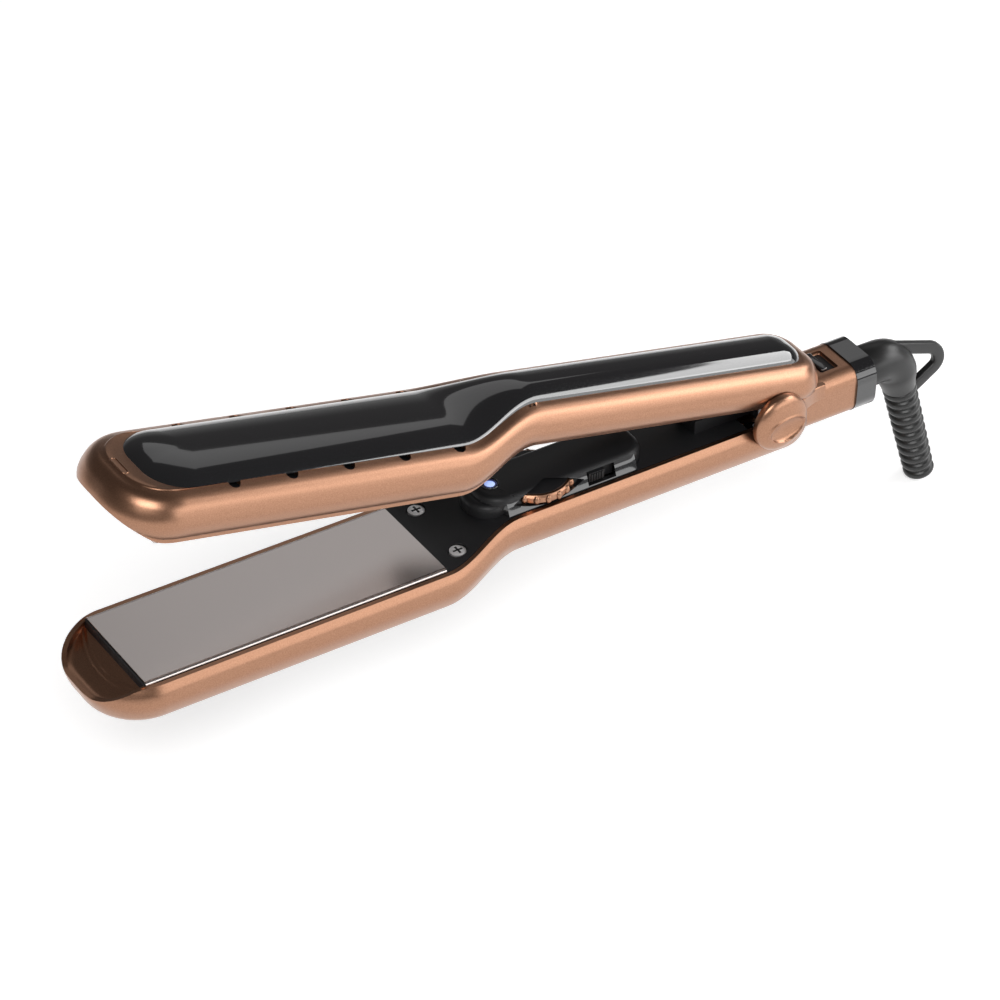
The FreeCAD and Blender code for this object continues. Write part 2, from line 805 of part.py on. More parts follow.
def build_arm(arm):
    shapes = (
        ("_housing", housing_shape),
        ("_outer_cover", outer_cover_shape),
        ("_inner_cover", inner_cover_shape),
    )
    for ending, shape in shapes:
        node(solid(arm.name + ending + "_shape", shape(arm)), arm.name + ending, arm.swings)
    heating_plate(arm)
    plate_carrier(arm)
    heater_parts(arm)
    cover_screws(arm)


# ---------------------------------------------------------------- hinge

def hinge_parts():
    pin = rod("pin_rod", "y", "pin_radius", ("hinge_x", "-pin_half_length", "hinge_z"), "2 * pin_half_length")
    node(pin, "hinge_pin")

    half = "lug_inner - side_clearance"
    saddle = block(
        "saddle_block", ("hinge_x - saddle_length", "hinge_x"), (f"-({half})", half),
        ("lower_handle_rim", "hinge_z + saddle_rise"))
    eye = rod("saddle_eye", "y", "lug_radius", ("hinge_x", f"-({half})", "hinge_z"), f"2 * ({half})")
    bore = rod("saddle_bore", "y", "pin_radius", ("hinge_x", f"-({half})", "hinge_z"), f"2 * ({half})")
    node(minus("saddle_whole", union("saddle_solid", saddle, eye), bore), "hinge_block")

    lugs = []
    bushes = []
    for tag, pair in (("far", ("lug_inner", "lug_outer")), ("near", mirrored(("lug_inner", "lug_outer")))):
        start = ("hinge_x", pair[0], "hinge_z")
        width = "lug_outer - lug_inner"
        web = block(
            f"lug_web_{tag}", ("hinge_x - 2 * lug_radius - 3", "hinge_x + lug_radius"), pair,
            ("hinge_z + lug_radius - 0.5", "upper_face + lip_drop + upper_rim_rise + upper_cover_recess + 1"))
        stem = block(
            f"lug_stem_{tag}", ("hinge_x - lug_radius", "hinge_x + lug_radius"), pair,
            ("hinge_z", "hinge_z + lug_radius + 1"))
        eye = rod(f"lug_eye_{tag}", "y", "lug_radius", start, width)
        hole = rod(f"lug_hole_{tag}", "y", "pin_radius + pin_clearance + bush_wall", start, width)
        lugs.append(minus(f"lug_{tag}", union(f"lug_solid_{tag}", web, stem, eye), hole))
        ring = rod(f"bush_ring_{tag}", "y", "pin_radius + pin_clearance + bush_wall", start, width)
        ring_bore = rod(f"bush_bore_{tag}", "y", "pin_radius + pin_clearance", start, width)
        bushes.append(minus(f"bush_{tag}", ring, ring_bore))
    bridge = block(
        "lug_bridge", ("hinge_x - 2 * lug_radius - 3", "hinge_x + lug_radius"),
        ("-lug_outer", "lug_outer"),
        ("upper_face + lip_drop + upper_rim_rise + upper_cover_recess + 0.5",
         "upper_face + lip_drop + upper_rim_rise + upper_cover_recess + 2.5"))
    doc.recompute()
    carrier = union("hinge_carrier_solid", bridge, *lugs)
    doc.recompute()
    cover = [item for item in NODES if item.Label == "upper_inner_cover"][0]
    shape = carrier.Shape.cut(raw_shape(cover))
    node(solid("hinge_carrier_shape", shape), "hinge_carrier", swing=True)
    for tag, bush in zip(("far", "near"), bushes):
        node(bush, f"hinge_bush_{tag}", swing=True)

    spring_shape()
    for tag, side in (("near", -1), ("far", 1)):
        hinge_cap(tag, side)


def raw_shape(item):
    """A piece's shape in the closed pose."""
    shape = item.Shape.copy()
    shape.Placement = Placement()
    return shape


def spring_shape():
    """The torsion spring: close turns round the pin and two short legs, beside the near lug."""
    half_wire = s.spring_wire / 2
    radius = s.pin_radius + s.pin_clearance + s.spring_wire
    start_y = -(s.lug_outer + s.side_clearance)
    edges = []
    for index in range(int(s.spring_turns)):
        near = Vector(0, start_y - index * s.spring_wire, radius)
        peak = Vector(0, near.y - half_wire, radius + half_wire)
        far = Vector(0, near.y - s.spring_wire, radius)
        edges.append(Part.Arc(near, peak, far).toShape())
    end_y = start_y - int(s.spring_turns) * s.spring_wire
    inner = radius - half_wire
    outline = [Vector(0, end_y, radius), Vector(0, end_y, inner), Vector(0, start_y, inner),
               Vector(0, start_y, radius)]
    edges += [Part.LineSegment(a, b).toShape() for a, b in zip(outline, outline[1:])]
    coil = Part.Face(Part.Wire(edges)).revolve(Vector(), Vector(0, 1, 0), 360)
    legs = []
    for y, z in ((start_y - half_wire, radius), (end_y + half_wire, -radius)):
        legs.append(Part.makeCylinder(
            half_wire, s.spring_leg, Vector(0, y, z), Vector(-1, 0, 0)))
    shape = coil.fuse(legs)
    shape.translate(Vector(s.hinge_x, 0, s.hinge_z))
    node(solid("spring_coil", shape), "torsion_spring")


def hinge_cap(tag, side):
    """A domed cap over the end of the hinge pin, with a shallow round dish set low and to the rear."""
    rim = Vector(s.cap_radius, 0, s.cap_skirt)
    shoulder = Vector(s.cap_radius * 0.8, 0, s.cap_height * 0.85)
    crown = Vector(0, 0, s.cap_height)
    bulge = Vector(s.cap_radius * 0.95, 0, s.cap_height * 0.6)
    arch = Vector(s.cap_radius * 0.42, 0, s.cap_height * 0.98)
    edges = [
        Part.LineSegment(Vector(), Vector(s.cap_radius, 0, 0)).toShape(),
        Part.LineSegment(Vector(s.cap_radius, 0, 0), rim).toShape(),
        Part.Arc(rim, bulge, shoulder).toShape(),
        Part.Arc(shoulder, arch, crown).toShape(),
        Part.LineSegment(crown, Vector()).toShape(),
    ]
    cap = Part.Face(Part.Wire(edges)).revolve(Vector(), Vector(0, 0, 1), 360)
    ball = s.dish_radius * 3.0
    dish = Part.makeSphere(ball, Vector(s.cap_radius * 0.2, 0, s.cap_height - s.dish_depth + ball))
    cap = cap.cut(dish)
    hub = Part.makeCylinder(s.tab_radius, s.cap_seat - s.pin_half_length, Vector(), Vector(0, 0, -1))
    cap = cap.fuse(hub)
    item = solid(f"cap_shape_{tag}", cap)
    turn = Rotation(Vector(1, 0, 0), -90 * side)
    item.Placement = Placement(Vector(s.hinge_x, side * s.cap_seat, s.hinge_z), turn)
    node(item, f"hinge_cap_{tag}")


# ---------------------------------------------------------------- control pod

def upright_wheel(x, radius, low, high):
    return Part.makeCylinder(radius, high - low, Vector(x, 0, low))


def pod_parts():
    shell = pod_block(0.0, 0.0, 0.0)
    crown = [
        e for e in shell.Edges
        if abs(e.BoundBox.ZMin - s.pod_z) < 1e-6 and abs(e.BoundBox.ZMax - s.pod_z) < 1e-6
    ]
    shell = shell.makeFillet(s.pod_edge_radius, crown)
    shell = shell.cut(pod_block(s.pod_wall, s.pod_wall, 0.0))
    slot_half = s.dial_thickness / 2 + s.side_clearance / 2
    shell = shell.cut(upright_wheel(
        s.dial_x, s.dial_radius + s.side_clearance, s.dial_z - slot_half, s.dial_z + slot_half))
    shell = shell.cut(upright_wheel(s.led_x, s.bezel_radius, s.dial_z, s.pod_z + 1.0))
    window_half = s.switch_length / 2 + s.side_clearance
    window = Part.makeBox(
        2 * window_half + s.switch_travel, 3 * s.pod_wall, s.switch_height + 2 * s.side_clearance,
        Vector(s.switch_x - window_half, -s.pod_width / 2 - s.pod_wall,
               s.switch_z - s.switch_height / 2 - s.side_clearance))
    shell = shell.cut(window)
    node(solid("pod_shell", shell), "control_pod")

    bumper = pod_block(0.0, s.pod_wall * 2, -s.bumper_depth).cut(pod_block(0.0, -1.0, 0.0))
    deck = LOWER.at(s.pod_x)[1]
    bumper = bumper.cut(Part.makeBox(
        s.pod_length, s.pod_width, s.pod_top,
        Vector(s.pod_x - 2 * s.bumper_depth, -s.pod_width / 2, deck - s.pod_top)))
    floor = [item for item in NODES if item.Label == "lower_inner_cover"][0]
    bumper = bumper.cut(floor.Shape)
    bumper = max(bumper.Solids, key=lambda piece: piece.Volume)
    node(solid("bumper_shape", bumper), "pod_bumper")

    ring = rod("bezel_ring", "z", "bezel_radius", ("led_x", "0", "pod_z - pod_wall"), "pod_wall + 0.1")
    ring_hole = rod("bezel_hole", "z", "led_radius", ("led_x", "0", "pod_z - pod_wall"), "pod_wall + 0.1")
    node(minus("bezel_whole", ring, ring_hole), "led_bezel")
    lens = rod("lens_rod", "z", "led_radius", ("led_x", "0", "pod_z - 2 * pod_wall"), "2 * pod_wall - 0.1")
    node(lens, "led_lens")
    lamp = rod("lamp_rod", "z", "led_radius * 0.7", ("led_x", "0", "lower_face - board_depth"),
               "pod_z - 2 * pod_wall - lower_face + board_depth")
    node(lamp, "led")

    board_top = "lower_face - board_depth"
    board = block(
        "board_slab", ("pod_x + 3", "pod_x + pod_length - 3"), ("-pod_width / 2 + 2", "pod_width / 2 - 2"),
        (f"{board_top} - board_thickness", board_top))
    node(board, "control_board")
    pot_case = rod("pot_case", "z", "pod_width / 2 - pod_wall - pot_gap", ("dial_x", "0", board_top),
                   f"dial_z - dial_thickness / 2 - side_clearance - ({board_top})")
    pot_shaft = rod("pot_shaft", "z", "dial_shaft_radius", ("dial_x", "0", board_top),
                    f"dial_z + dial_thickness / 2 - 0.4 - ({board_top})")
    node(union("pot_whole", pot_case, pot_shaft), "dial_potentiometer")
    temperature_dial()

    inner = "-pod_width / 2 + pod_wall"
    button = block(
        "button_block", ("switch_x - switch_length / 2", "switch_x + switch_length / 2"),
        ("-pod_width / 2 - 0.5", f"{inner} + 0.6"),
        ("switch_z - switch_height / 2", "switch_z + switch_height / 2"))
    ribs = []
    for index in range(5):
        x = f"switch_x + ({index - 2}) * switch_length / 6"
        ribs.append(block(
            f"button_rib_{index}", (f"{x} - 0.25", f"{x} + 0.25"),
            ("-pod_width / 2 - 0.9", "-pod_width / 2 - 0.4"),
            ("switch_z - switch_height / 2 + 0.3", "switch_z + switch_height / 2 - 0.3")))
    node(union("button_whole", button, *ribs), "power_switch")
    case = block(
        "switch_case",
        ("switch_x - switch_length / 2 - side_clearance", "switch_x + switch_length + switch_travel"),
        (f"{inner} + 1", f"{inner} + 6"), (board_top, "switch_z + switch_height / 2"))
    node(case, "switch_body")


def temperature_dial():
    """The thumb wheel: a disc with a shaft hole and a ring of rounded finger bumps."""
    body = doc.addObject("PartDesign::Body", "dial_wheel")
    origin = {f.Role: f for f in body.Origin.OriginFeatures}
    disc = body.newObject("Sketcher::SketchObject", "disc_outline")
    disc.AttachmentSupport = (origin["XY_Plane"], "")
    disc.MapMode = "FlatFace"
    for radius in (10.0, 2.0):
        disc.addGeometry(Part.Circle(Vector(), Vector(0, 0, 1), radius), False)
    for index, rule in enumerate(("dial_radius - 0.7", "dial_shaft_radius + pin_clearance")):
        disc.addConstraint(Sketcher.Constraint("Coincident", index, 3, -1, 1))
        number = disc.addConstraint(Sketcher.Constraint("Radius", index, 5.0 - index))
        disc.renameConstraint(number, f"radius_{index}")
        disc.setExpression(f"Constraints.radius_{index}", linked(rule))
    pad = body.newObject("PartDesign::Pad", "disc_pad")
    pad.Profile = disc
    pad.Midplane = True
    bind(pad, Length="dial_thickness")
    doc.recompute()

    bump = body.newObject("Sketcher::SketchObject", "bump_outline")
    bump.AttachmentSupport = (origin["XY_Plane"], "")
    bump.MapMode = "FlatFace"
    bump.addGeometry(Part.Circle(Vector(12, 0, 0), Vector(0, 0, 1), 0.9), False)
    bump.addConstraint(Sketcher.Constraint("PointOnObject", 0, 3, -1))
    number = bump.addConstraint(Sketcher.Constraint("DistanceX", -1, 1, 0, 3, 12.0))
    bump.renameConstraint(number, "reach")
    bump.setExpression("Constraints.reach", linked("dial_radius - 1.0"))
    number = bump.addConstraint(Sketcher.Constraint("Radius", 0, 0.9))
    bump.renameConstraint(number, "size")
    bump.setExpression("Constraints.size", "1.0")
    raised = body.newObject("PartDesign::Pad", "bump_pad")
    raised.Profile = bump
    raised.Midplane = True
    bind(raised, Length="dial_thickness * 0.7")
    doc.recompute()
    ring = body.newObject("PartDesign::PolarPattern", "bump_ring")
    ring.Originals = [raised]
    ring.Axis = (origin["Z_Axis"], [""])
    ring.Angle = 360
    bind(ring, Occurrences="dial_bumps")
    body.Tip = ring
    bind(body, Placement__Base__x="dial_x", Placement__Base__z="dial_z")
    doc.recompute()
    return node(body, "temperature_dial")


# ---------------------------------------------------------------- rear sleeve and cord outlet

def sleeve_parts():
    body = sleeve_outline(0.0)
    tabs = []
    width = s.tab_outer - s.tab_inner
    for side in (-1, 1):
        low_y = s.tab_inner if side > 0 else -s.tab_outer
        run = s.sleeve_x + s.tab_overlap - s.hinge_x
        bar = Part.makeBox(
            run, width, 2 * s.tab_radius, Vector(s.hinge_x, low_y, s.hinge_z - s.tab_radius))
        eye = Part.makeCylinder(
            s.tab_radius, width, Vector(s.hinge_x, low_y, s.hinge_z), Vector(0, 1, 0))
        low_bridge = s.sleeve_width / 2 - 2.0 if side > 0 else -s.tab_outer
        bridge = Part.makeBox(
            s.sleeve_start, s.tab_outer - s.sleeve_width / 2 + 2.0,
            s.lower_face + s.sleeve_neck_top - (s.hinge_z - s.tab_radius),
            Vector(s.sleeve_x, low_bridge, s.hinge_z - s.tab_radius))
        tabs += [bar, eye, bridge]
    body = body.fuse(tabs)
    pin_hole = Part.makeCylinder(
        s.pin_radius, 2 * s.tab_outer, Vector(s.hinge_x, -s.tab_outer, s.hinge_z), Vector(0, 1, 0))
    spool = Part.makeCylinder(
        s.flange_radius + s.flange_gap, s.sleeve_length, Vector(s.sleeve_x - 1, 0, s.axis_z),
        Vector(1, 0, 0))
    spool = spool.common(Part.makeBox(
        s.sleeve_end - s.sleeve_wall - s.sleeve_x + 1, 40, 40,
        Vector(s.sleeve_x - 1, -20, s.axis_z - 20)))
    outlet = Part.makeCylinder(
        s.swivel_bore, s.sleeve_length, Vector(s.sleeve_x, 0, s.axis_z), Vector(1, 0, 0))
    recess = Part.makeBox(
        s.lock_length + s.lock_travel + 2 * s.lock_gap, s.lock_width + 2 * s.lock_gap, 10,
        Vector(s.sleeve_shoulder + 1.0, -s.lock_width / 2 - s.lock_gap, s.sleeve_top - s.lock_recess))
    body = body.cut([pin_hole, spool, outlet, recess])
    node(solid("sleeve_shape", body), "rear_sleeve")

    slider = block(
        "lock_block",
        ("sleeve_shoulder + 1 + lock_gap", "sleeve_shoulder + 1 + lock_gap + lock_length"),
        ("-lock_width / 2", "lock_width / 2"),
        ("sleeve_top - lock_recess + lock_gap", "sleeve_top - lock_recess + lock_gap + lock_height"))
    node(slider, "lock_slider")

    proud = s.collar_proud
    collar = rounded_bar(
        s.sleeve_end, s.collar_end, s.sleeve_width + 2 * proud, s.sleeve_height + 2 * proud,
        s.sleeve_corner + proud, s.axis_z)
    collar = collar.cut(Part.makeCylinder(
        s.swivel_bore, s.collar_length, Vector(s.sleeve_end, 0, s.axis_z), Vector(1, 0, 0)))
    node(solid("collar_shape", collar), "sleeve_collar")


# Hanging loop: corners of its middle line, from the crossing of the outlet axis and the relief axis.
LOOP_CORNERS = [(0.0, 3.6), (19.3, -3.2), (21.2, -9.6), (9.0, -17.5)]


def outlet_parts():
    corner_point = Vector(s.elbow_x, 0, s.axis_z)
    angle = math.radians(s.relief_angle)
    down = Vector(math.cos(angle), 0, -math.sin(angle))
    tangent = s.bend_radius * math.tan(angle / 2)
    start_x = s.collar_end + s.elbow_gap
    bend_start = Vector(s.elbow_x - tangent, 0, s.axis_z)
    straight = Part.makeCylinder(
        s.elbow_radius, bend_start.x - start_x, Vector(start_x, 0, s.axis_z), Vector(1, 0, 0))
    circle = Part.Face(Part.Wire(Part.makeCircle(s.elbow_radius, bend_start, Vector(1, 0, 0))))
    bend = circle.revolve(
        Vector(bend_start.x, 0, s.axis_z - s.bend_radius), Vector(0, 1, 0), s.relief_angle)
    bend_end = corner_point + down * tangent
    taper_end = corner_point + down * s.relief_plain
    taper = Part.makeCone(
        s.elbow_radius, s.relief_radius, (taper_end - bend_end).Length, bend_end, down)
    stub_start = s.sleeve_end - s.sleeve_wall - s.flange_gap - s.flange_thickness
    stub = Part.makeCylinder(
        s.swivel_radius, start_x - stub_start + 1.0, Vector(stub_start, 0, s.axis_z), Vector(1, 0, 0))
    outer = loop_face(s.loop_rod)
    inner = loop_face(-s.loop_rod)
    loop = outer.cut(inner)
    elbow = straight.fuse([bend, taper, stub, loop])
    cord_way = Part.makeCylinder(
        s.cord_radius, bend_start.x - stub_start, Vector(stub_start, 0, s.axis_z), Vector(1, 0, 0))
    bore_circle = Part.Face(Part.Wire(Part.makeCircle(s.cord_radius, bend_start, Vector(1, 0, 0))))
    cord_bend = bore_circle.revolve(
        Vector(bend_start.x, 0, s.axis_z - s.bend_radius), Vector(0, 1, 0), s.relief_angle)
    cord_drop = Part.makeCylinder(s.cord_radius, s.relief_length, bend_end, down)
    elbow = elbow.cut([cord_way, cord_bend, cord_drop])
    node(solid("elbow_shape", elbow), "swivel_elbow")

    ring = Part.makeCylinder(
        s.flange_radius, s.flange_thickness, Vector(stub_start, 0, s.axis_z), Vector(1, 0, 0))
    ring = ring.cut(Part.makeCylinder(
        s.swivel_radius, s.flange_thickness, Vector(stub_start, 0, s.axis_z), Vector(1, 0, 0)))
    node(solid("ring_shape", ring), "retaining_ring")

    length = s.relief_length - s.relief_plain
    core_radius = s.relief_radius - s.relief_rib
    tip_radius = core_radius - s.relief_taper
    core = Part.makeCone(core_radius, tip_radius, length, taper_end, down)
    pitch = length / s.relief_ribs
    ribs = []
    for index in range(int(s.relief_ribs)):
        centre = taper_end + down * (pitch * (index + 0.5))
        radius = core_radius + (tip_radius - core_radius) * (index + 0.5) / s.relief_ribs
        ribs.append(Part.makeTorus(radius - 0.3, s.relief_rib + 0.3, centre, down))
    relief = core.fuse(ribs)
    relief = relief.cut(Part.makeCylinder(s.cord_radius, 2 * length, taper_end - down * 5, down))
    keep = Part.makeCylinder(4 * s.elbow_radius, length, taper_end, down)
    relief = relief.common(keep).cut(elbow)
    node(solid("relief_shape", max(relief.Solids, key=lambda piece: piece.Volume)), "strain_relief")


def loop_face(offset):
    """The loop's plate, bounded at the given distance from its middle line."""
    corners = [Vector(s.elbow_x + x, -s.loop_thickness / 2, s.axis_z + z) for x, z in LOOP_CORNERS]
    wire = Part.makePolygon(corners + corners[:1])
    face = Part.Face(wire.makeOffset2D(offset))
    return face.extrude(Vector(0, s.loop_thickness, 0))


# ---------------------------------------------------------------- everything together

def check_and_write():
    doc.recompute()
    for item in doc.Objects:
        if "Invalid" in item.State or "Error" in item.State:
            raise RuntimeError(f"{item.Name} failed: {item.State}")
    os.makedirs("parts", exist_ok=True)
    for item in NODES:
        shape = item.Shape
        if shape.isNull() or not shape.isValid() or not shape.Solids:
            raise RuntimeError(f"{item.Label} has no valid solid")
        shape.exportStep(f"parts/{item.Label}.step")
        print(f"{item.Label}: {len(shape.Solids)} solid(s), {shape.Volume:.0f} mm3")


build_arm(LOWER)
build_arm(UPPER)
hinge_parts()
pod_parts()
sleeve_parts()
outlet_parts()
check_and_write()
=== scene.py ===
import json
import math

import bmesh
import bpy
from mathutils import Matrix, Vector


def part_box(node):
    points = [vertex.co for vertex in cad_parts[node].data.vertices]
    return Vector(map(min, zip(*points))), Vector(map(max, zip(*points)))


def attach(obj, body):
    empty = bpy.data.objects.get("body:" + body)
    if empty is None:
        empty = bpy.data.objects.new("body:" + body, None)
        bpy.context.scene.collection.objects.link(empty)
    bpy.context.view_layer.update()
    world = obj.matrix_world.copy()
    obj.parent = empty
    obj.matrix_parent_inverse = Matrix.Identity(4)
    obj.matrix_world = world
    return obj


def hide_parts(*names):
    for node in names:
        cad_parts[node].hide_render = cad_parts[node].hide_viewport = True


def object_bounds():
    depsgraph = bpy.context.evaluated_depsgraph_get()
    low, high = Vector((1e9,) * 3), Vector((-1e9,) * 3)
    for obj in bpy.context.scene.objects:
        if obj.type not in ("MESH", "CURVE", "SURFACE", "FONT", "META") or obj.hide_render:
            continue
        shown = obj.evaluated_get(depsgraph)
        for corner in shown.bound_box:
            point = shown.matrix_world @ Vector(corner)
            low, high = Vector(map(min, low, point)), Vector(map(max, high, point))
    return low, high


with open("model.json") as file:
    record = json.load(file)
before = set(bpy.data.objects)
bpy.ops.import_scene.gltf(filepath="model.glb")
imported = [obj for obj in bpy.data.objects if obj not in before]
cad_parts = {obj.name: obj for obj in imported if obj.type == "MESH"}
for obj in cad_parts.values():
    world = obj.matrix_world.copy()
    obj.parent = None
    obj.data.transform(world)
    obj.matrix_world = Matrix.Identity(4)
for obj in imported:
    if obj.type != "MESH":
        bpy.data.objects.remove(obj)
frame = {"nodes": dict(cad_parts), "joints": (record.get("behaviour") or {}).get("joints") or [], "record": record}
CAD_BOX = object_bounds()

MM = 0.001


# ---------------------------------------------------------------- materials

def new_material(name):
    """An empty node material with its Principled shader and an object-space coordinate."""
    material = bpy.data.materials.new(name)
    material.use_nodes = True
    tree = material.node_tree
    shader = tree.nodes["Principled BSDF"]
    place = tree.nodes.new("ShaderNodeTexCoord").outputs["Object"]
    return material, tree, shader, place


def add_noise(tree, place, scale, detail=3.0, roughness=0.5):
    noise = tree.nodes.new("ShaderNodeTexNoise")
    noise.inputs["Scale"].default_value = scale
    noise.inputs["Detail"].default_value = detail
    noise.inputs["Roughness"].default_value = roughness
    tree.links.new(place, noise.inputs["Vector"])
    return noise.outputs["Fac"]


def ramp(tree, factor, low, high, start=0.3, end=0.7):
    """A colour ramp between two colours over a stretch of the factor."""
    node = tree.nodes.new("ShaderNodeValToRGB")
    node.color_ramp.elements[0].position = start
    node.color_ramp.elements[0].color = (*low, 1.0)
    node.color_ramp.elements[1].position = end
    node.color_ramp.elements[1].color = (*high, 1.0)
    tree.links.new(factor, node.inputs["Fac"])
    return node.outputs["Color"]


def spread(tree, factor, low, high):
    """The factor, from 0 to 1, stretched over a range."""
    node = tree.nodes.new("ShaderNodeMapRange")
    node.inputs["To Min"].default_value = low
    node.inputs["To Max"].default_value = high
    tree.links.new(factor, node.inputs["Value"])
    return node.outputs["Result"]


def add_bump(tree, shader, height, strength, distance):
    bump = tree.nodes.new("ShaderNodeBump")
    bump.inputs["Strength"].default_value = strength
    bump.inputs["Distance"].default_value = distance
    tree.links.new(height, bump.inputs["Height"])
    tree.links.new(bump.outputs["Normal"], shader.inputs["Normal"])
    return bump


def finish_material(
        name, low, high, metallic, rough, grain, bump, coat=0.0, coat_rough=0.1, gloss=0.5):
    """A moulded or metal finish: two close colours, uneven roughness and a fine surface grain."""
    material, tree, shader, place = new_material(name)
    shader.inputs["Metallic"].default_value = metallic
    shader.inputs["Coat Weight"].default_value = coat
    shader.inputs["Coat Roughness"].default_value = coat_rough
    shader.inputs["Specular IOR Level"].default_value = gloss
    fine = add_noise(tree, place, grain, 4.0, 0.7)
    tree.links.new(ramp(tree, fine, low, high), shader.inputs["Base Color"])
    tree.links.new(spread(tree, fine, rough[0], rough[1]), shader.inputs["Roughness"])
    add_bump(tree, shader, fine, bump[0], bump[1])
    return material


def copper_satin():
    return finish_material(
        "copper_satin", (0.29, 0.145, 0.083), (0.42, 0.220, 0.135), 1.0, (0.26, 0.38), 2600.0,
        (0.30, 0.02 * MM), coat=0.35, coat_rough=0.3)


def black_gloss():
    return finish_material(
        "black_gloss", (0.006, 0.006, 0.007), (0.009, 0.009, 0.010), 0.0, (0.07, 0.11), 6000.0,
        (0.03, 0.01 * MM), coat=1.0, coat_rough=0.04)


def black_matte():
    return finish_material(
        "black_matte", (0.009, 0.009, 0.010), (0.014, 0.014, 0.015), 0.0, (0.38, 0.50), 7000.0,
        (0.35, 0.03 * MM), gloss=0.32)


def titanium_plate():
    return finish_material(
        "titanium_plate", (0.58, 0.53, 0.51), (0.62, 0.57, 0.55), 1.0, (0.22, 0.27), 5000.0,
        (0.10, 0.01 * MM))


def ceramic_heater():
    return finish_material(
        "ceramic_heater", (0.55, 0.53, 0.49), (0.62, 0.60, 0.56), 0.0, (0.55, 0.7), 3000.0,
        (0.25, 0.03 * MM))


def steel():
    return finish_material(
        "steel", (0.90, 0.89, 0.89), (0.96, 0.95, 0.95), 1.0, (0.52, 0.62), 4000.0,
        (0.10, 0.01 * MM))


def bronze_bush():
    return finish_material(
        "bronze_bush", (0.42, 0.25, 0.10), (0.50, 0.31, 0.14), 1.0, (0.32, 0.45), 4000.0,
        (0.20, 0.02 * MM))


def circuit_board():
    return finish_material(
        "circuit_board", (0.010, 0.075, 0.030), (0.018, 0.100, 0.045), 0.0, (0.3, 0.45), 2500.0,
        (0.10, 0.02 * MM))


def cord_rubber():
    return finish_material(
        "cord_rubber", (0.006, 0.006, 0.006), (0.010, 0.010, 0.010), 0.0, (0.30, 0.40), 6000.0,
        (0.30, 0.03 * MM))


def led_blue():
    material, tree, shader, place = new_material("led_blue")
    glow = ramp(tree, add_noise(tree, place, 300.0), (0.30, 0.42, 0.95), (0.55, 0.68, 1.0))
    tree.links.new(glow, shader.inputs["Base Color"])
    tree.links.new(glow, shader.inputs["Emission Color"])
    shader.inputs["Emission Strength"].default_value = 0.75
    shader.inputs["Roughness"].default_value = 0.2
    return material


def led_rim():
    return finish_material(
        "led_rim", (0.004, 0.010, 0.10), (0.008, 0.020, 0.18), 0.0, (0.12, 0.2), 3000.0,
        (0.05, 0.01 * MM), coat=0.5)


MAKERS = (
    copper_satin, black_gloss, black_matte, titanium_plate, ceramic_heater, steel, bronze_bush,
    circuit_board, cord_rubber, led_blue, led_rim)
MATERIALS = {maker.__name__: maker() for maker in MAKERS}


def finish_cad_nodes():
    """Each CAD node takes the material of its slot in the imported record."""
    for entry in frame["record"]["subparts"]:
        mesh = frame["nodes"][entry["node"]].data
        mesh.materials.clear()
        mesh.materials.append(MATERIALS[entry["material_slot"]])


finish_cad_nodes()


# ---------------------------------------------------------------- mesh building

def smooth(t):
    t = min(max(t, 0.0), 1.0)
    return t * t * (3.0 - 2.0 * t)


def mix(a, b, t):
    return a + (b - a) * t


def grid_mesh(name, rows, ring=True, closed=False, cap_last=False):
    """Quads between rows of points; ring joins each row's ends, closed the last row to the first."""
    mesh = bpy.data.meshes.new(name)
    count = len(rows[0])
    points = [point for row in rows for point in row]
    faces = []
    last_row = len(rows) if closed else len(rows) - 1
    last_column = count if ring else count - 1
    for r in range(last_row):
        for c in range(last_column):
            r2, c2 = (r + 1) % len(rows), (c + 1) % count
            faces.append((r * count + c, r * count + c2, r2 * count + c2, r2 * count + c))
    if cap_last:
        first = (len(rows) - 1) * count
        faces.append([first + c for c in range(count)])
    mesh.from_pydata([tuple(p) for p in points], [], faces)
    mesh.validate()
    return mesh


def clean(mesh, sharp=35.0):
    """Joins points that fall together, turns faces outwards and shades all but sharp edges smooth."""
    work = bmesh.new()
    work.from_mesh(mesh)
    bmesh.ops.remove_doubles(work, verts=work.verts, dist=0.004 * MM)
    bmesh.ops.recalc_face_normals(work, faces=work.faces)
    work.to_mesh(mesh)
    work.free()
    mesh.shade_smooth()
    mesh.set_sharp_from_angle(angle=math.radians(sharp))


def add_piece(name, mesh, slot, body, *nodes, sharp=35.0, finish=None):
    """Finishes a mesh as a named piece with its slot's material, or another finish, on its body."""
    clean(mesh, sharp)
    mesh.materials.append(MATERIALS[finish or slot])
    item = bpy.data.objects.new(name, mesh)
    bpy.context.scene.collection.objects.link(item)
    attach(item, body)
    if nodes:
        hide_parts(*nodes)
    return item


def cut_away(mesh, cutter):
    """The mesh with the cutter's volume taken out."""
    base = bpy.data.objects.new("cut_base", mesh)
    tool = bpy.data.objects.new("cut_tool", cutter)
    for item in (base, tool):
        bpy.context.scene.collection.objects.link(item)
    boolean = base.modifiers.new("cut", "BOOLEAN")
    boolean.object = tool
    boolean.operation = "DIFFERENCE"
    boolean.solver = "EXACT"
    boolean.use_self = True
    boolean.use_hole_tolerant = True
    depsgraph = bpy.context.evaluated_depsgraph_get()
    result = bpy.data.meshes.new_from_object(base.evaluated_get(depsgraph))
    for item in (base, tool):
        bpy.data.objects.remove(item)
    return result


def filled(mesh):
    """Closes a mesh's open ends, so that it can be cut or cut with."""
    work = bmesh.new()
    work.from_mesh(mesh)
    bmesh.ops.remove_doubles(work, verts=work.verts, dist=0.004 * MM)
    bmesh.ops.holes_fill(work, edges=work.edges[:])
    bmesh.ops.recalc_face_normals(work, faces=work.faces)
    work.to_mesh(mesh)
    work.free()
    return mesh


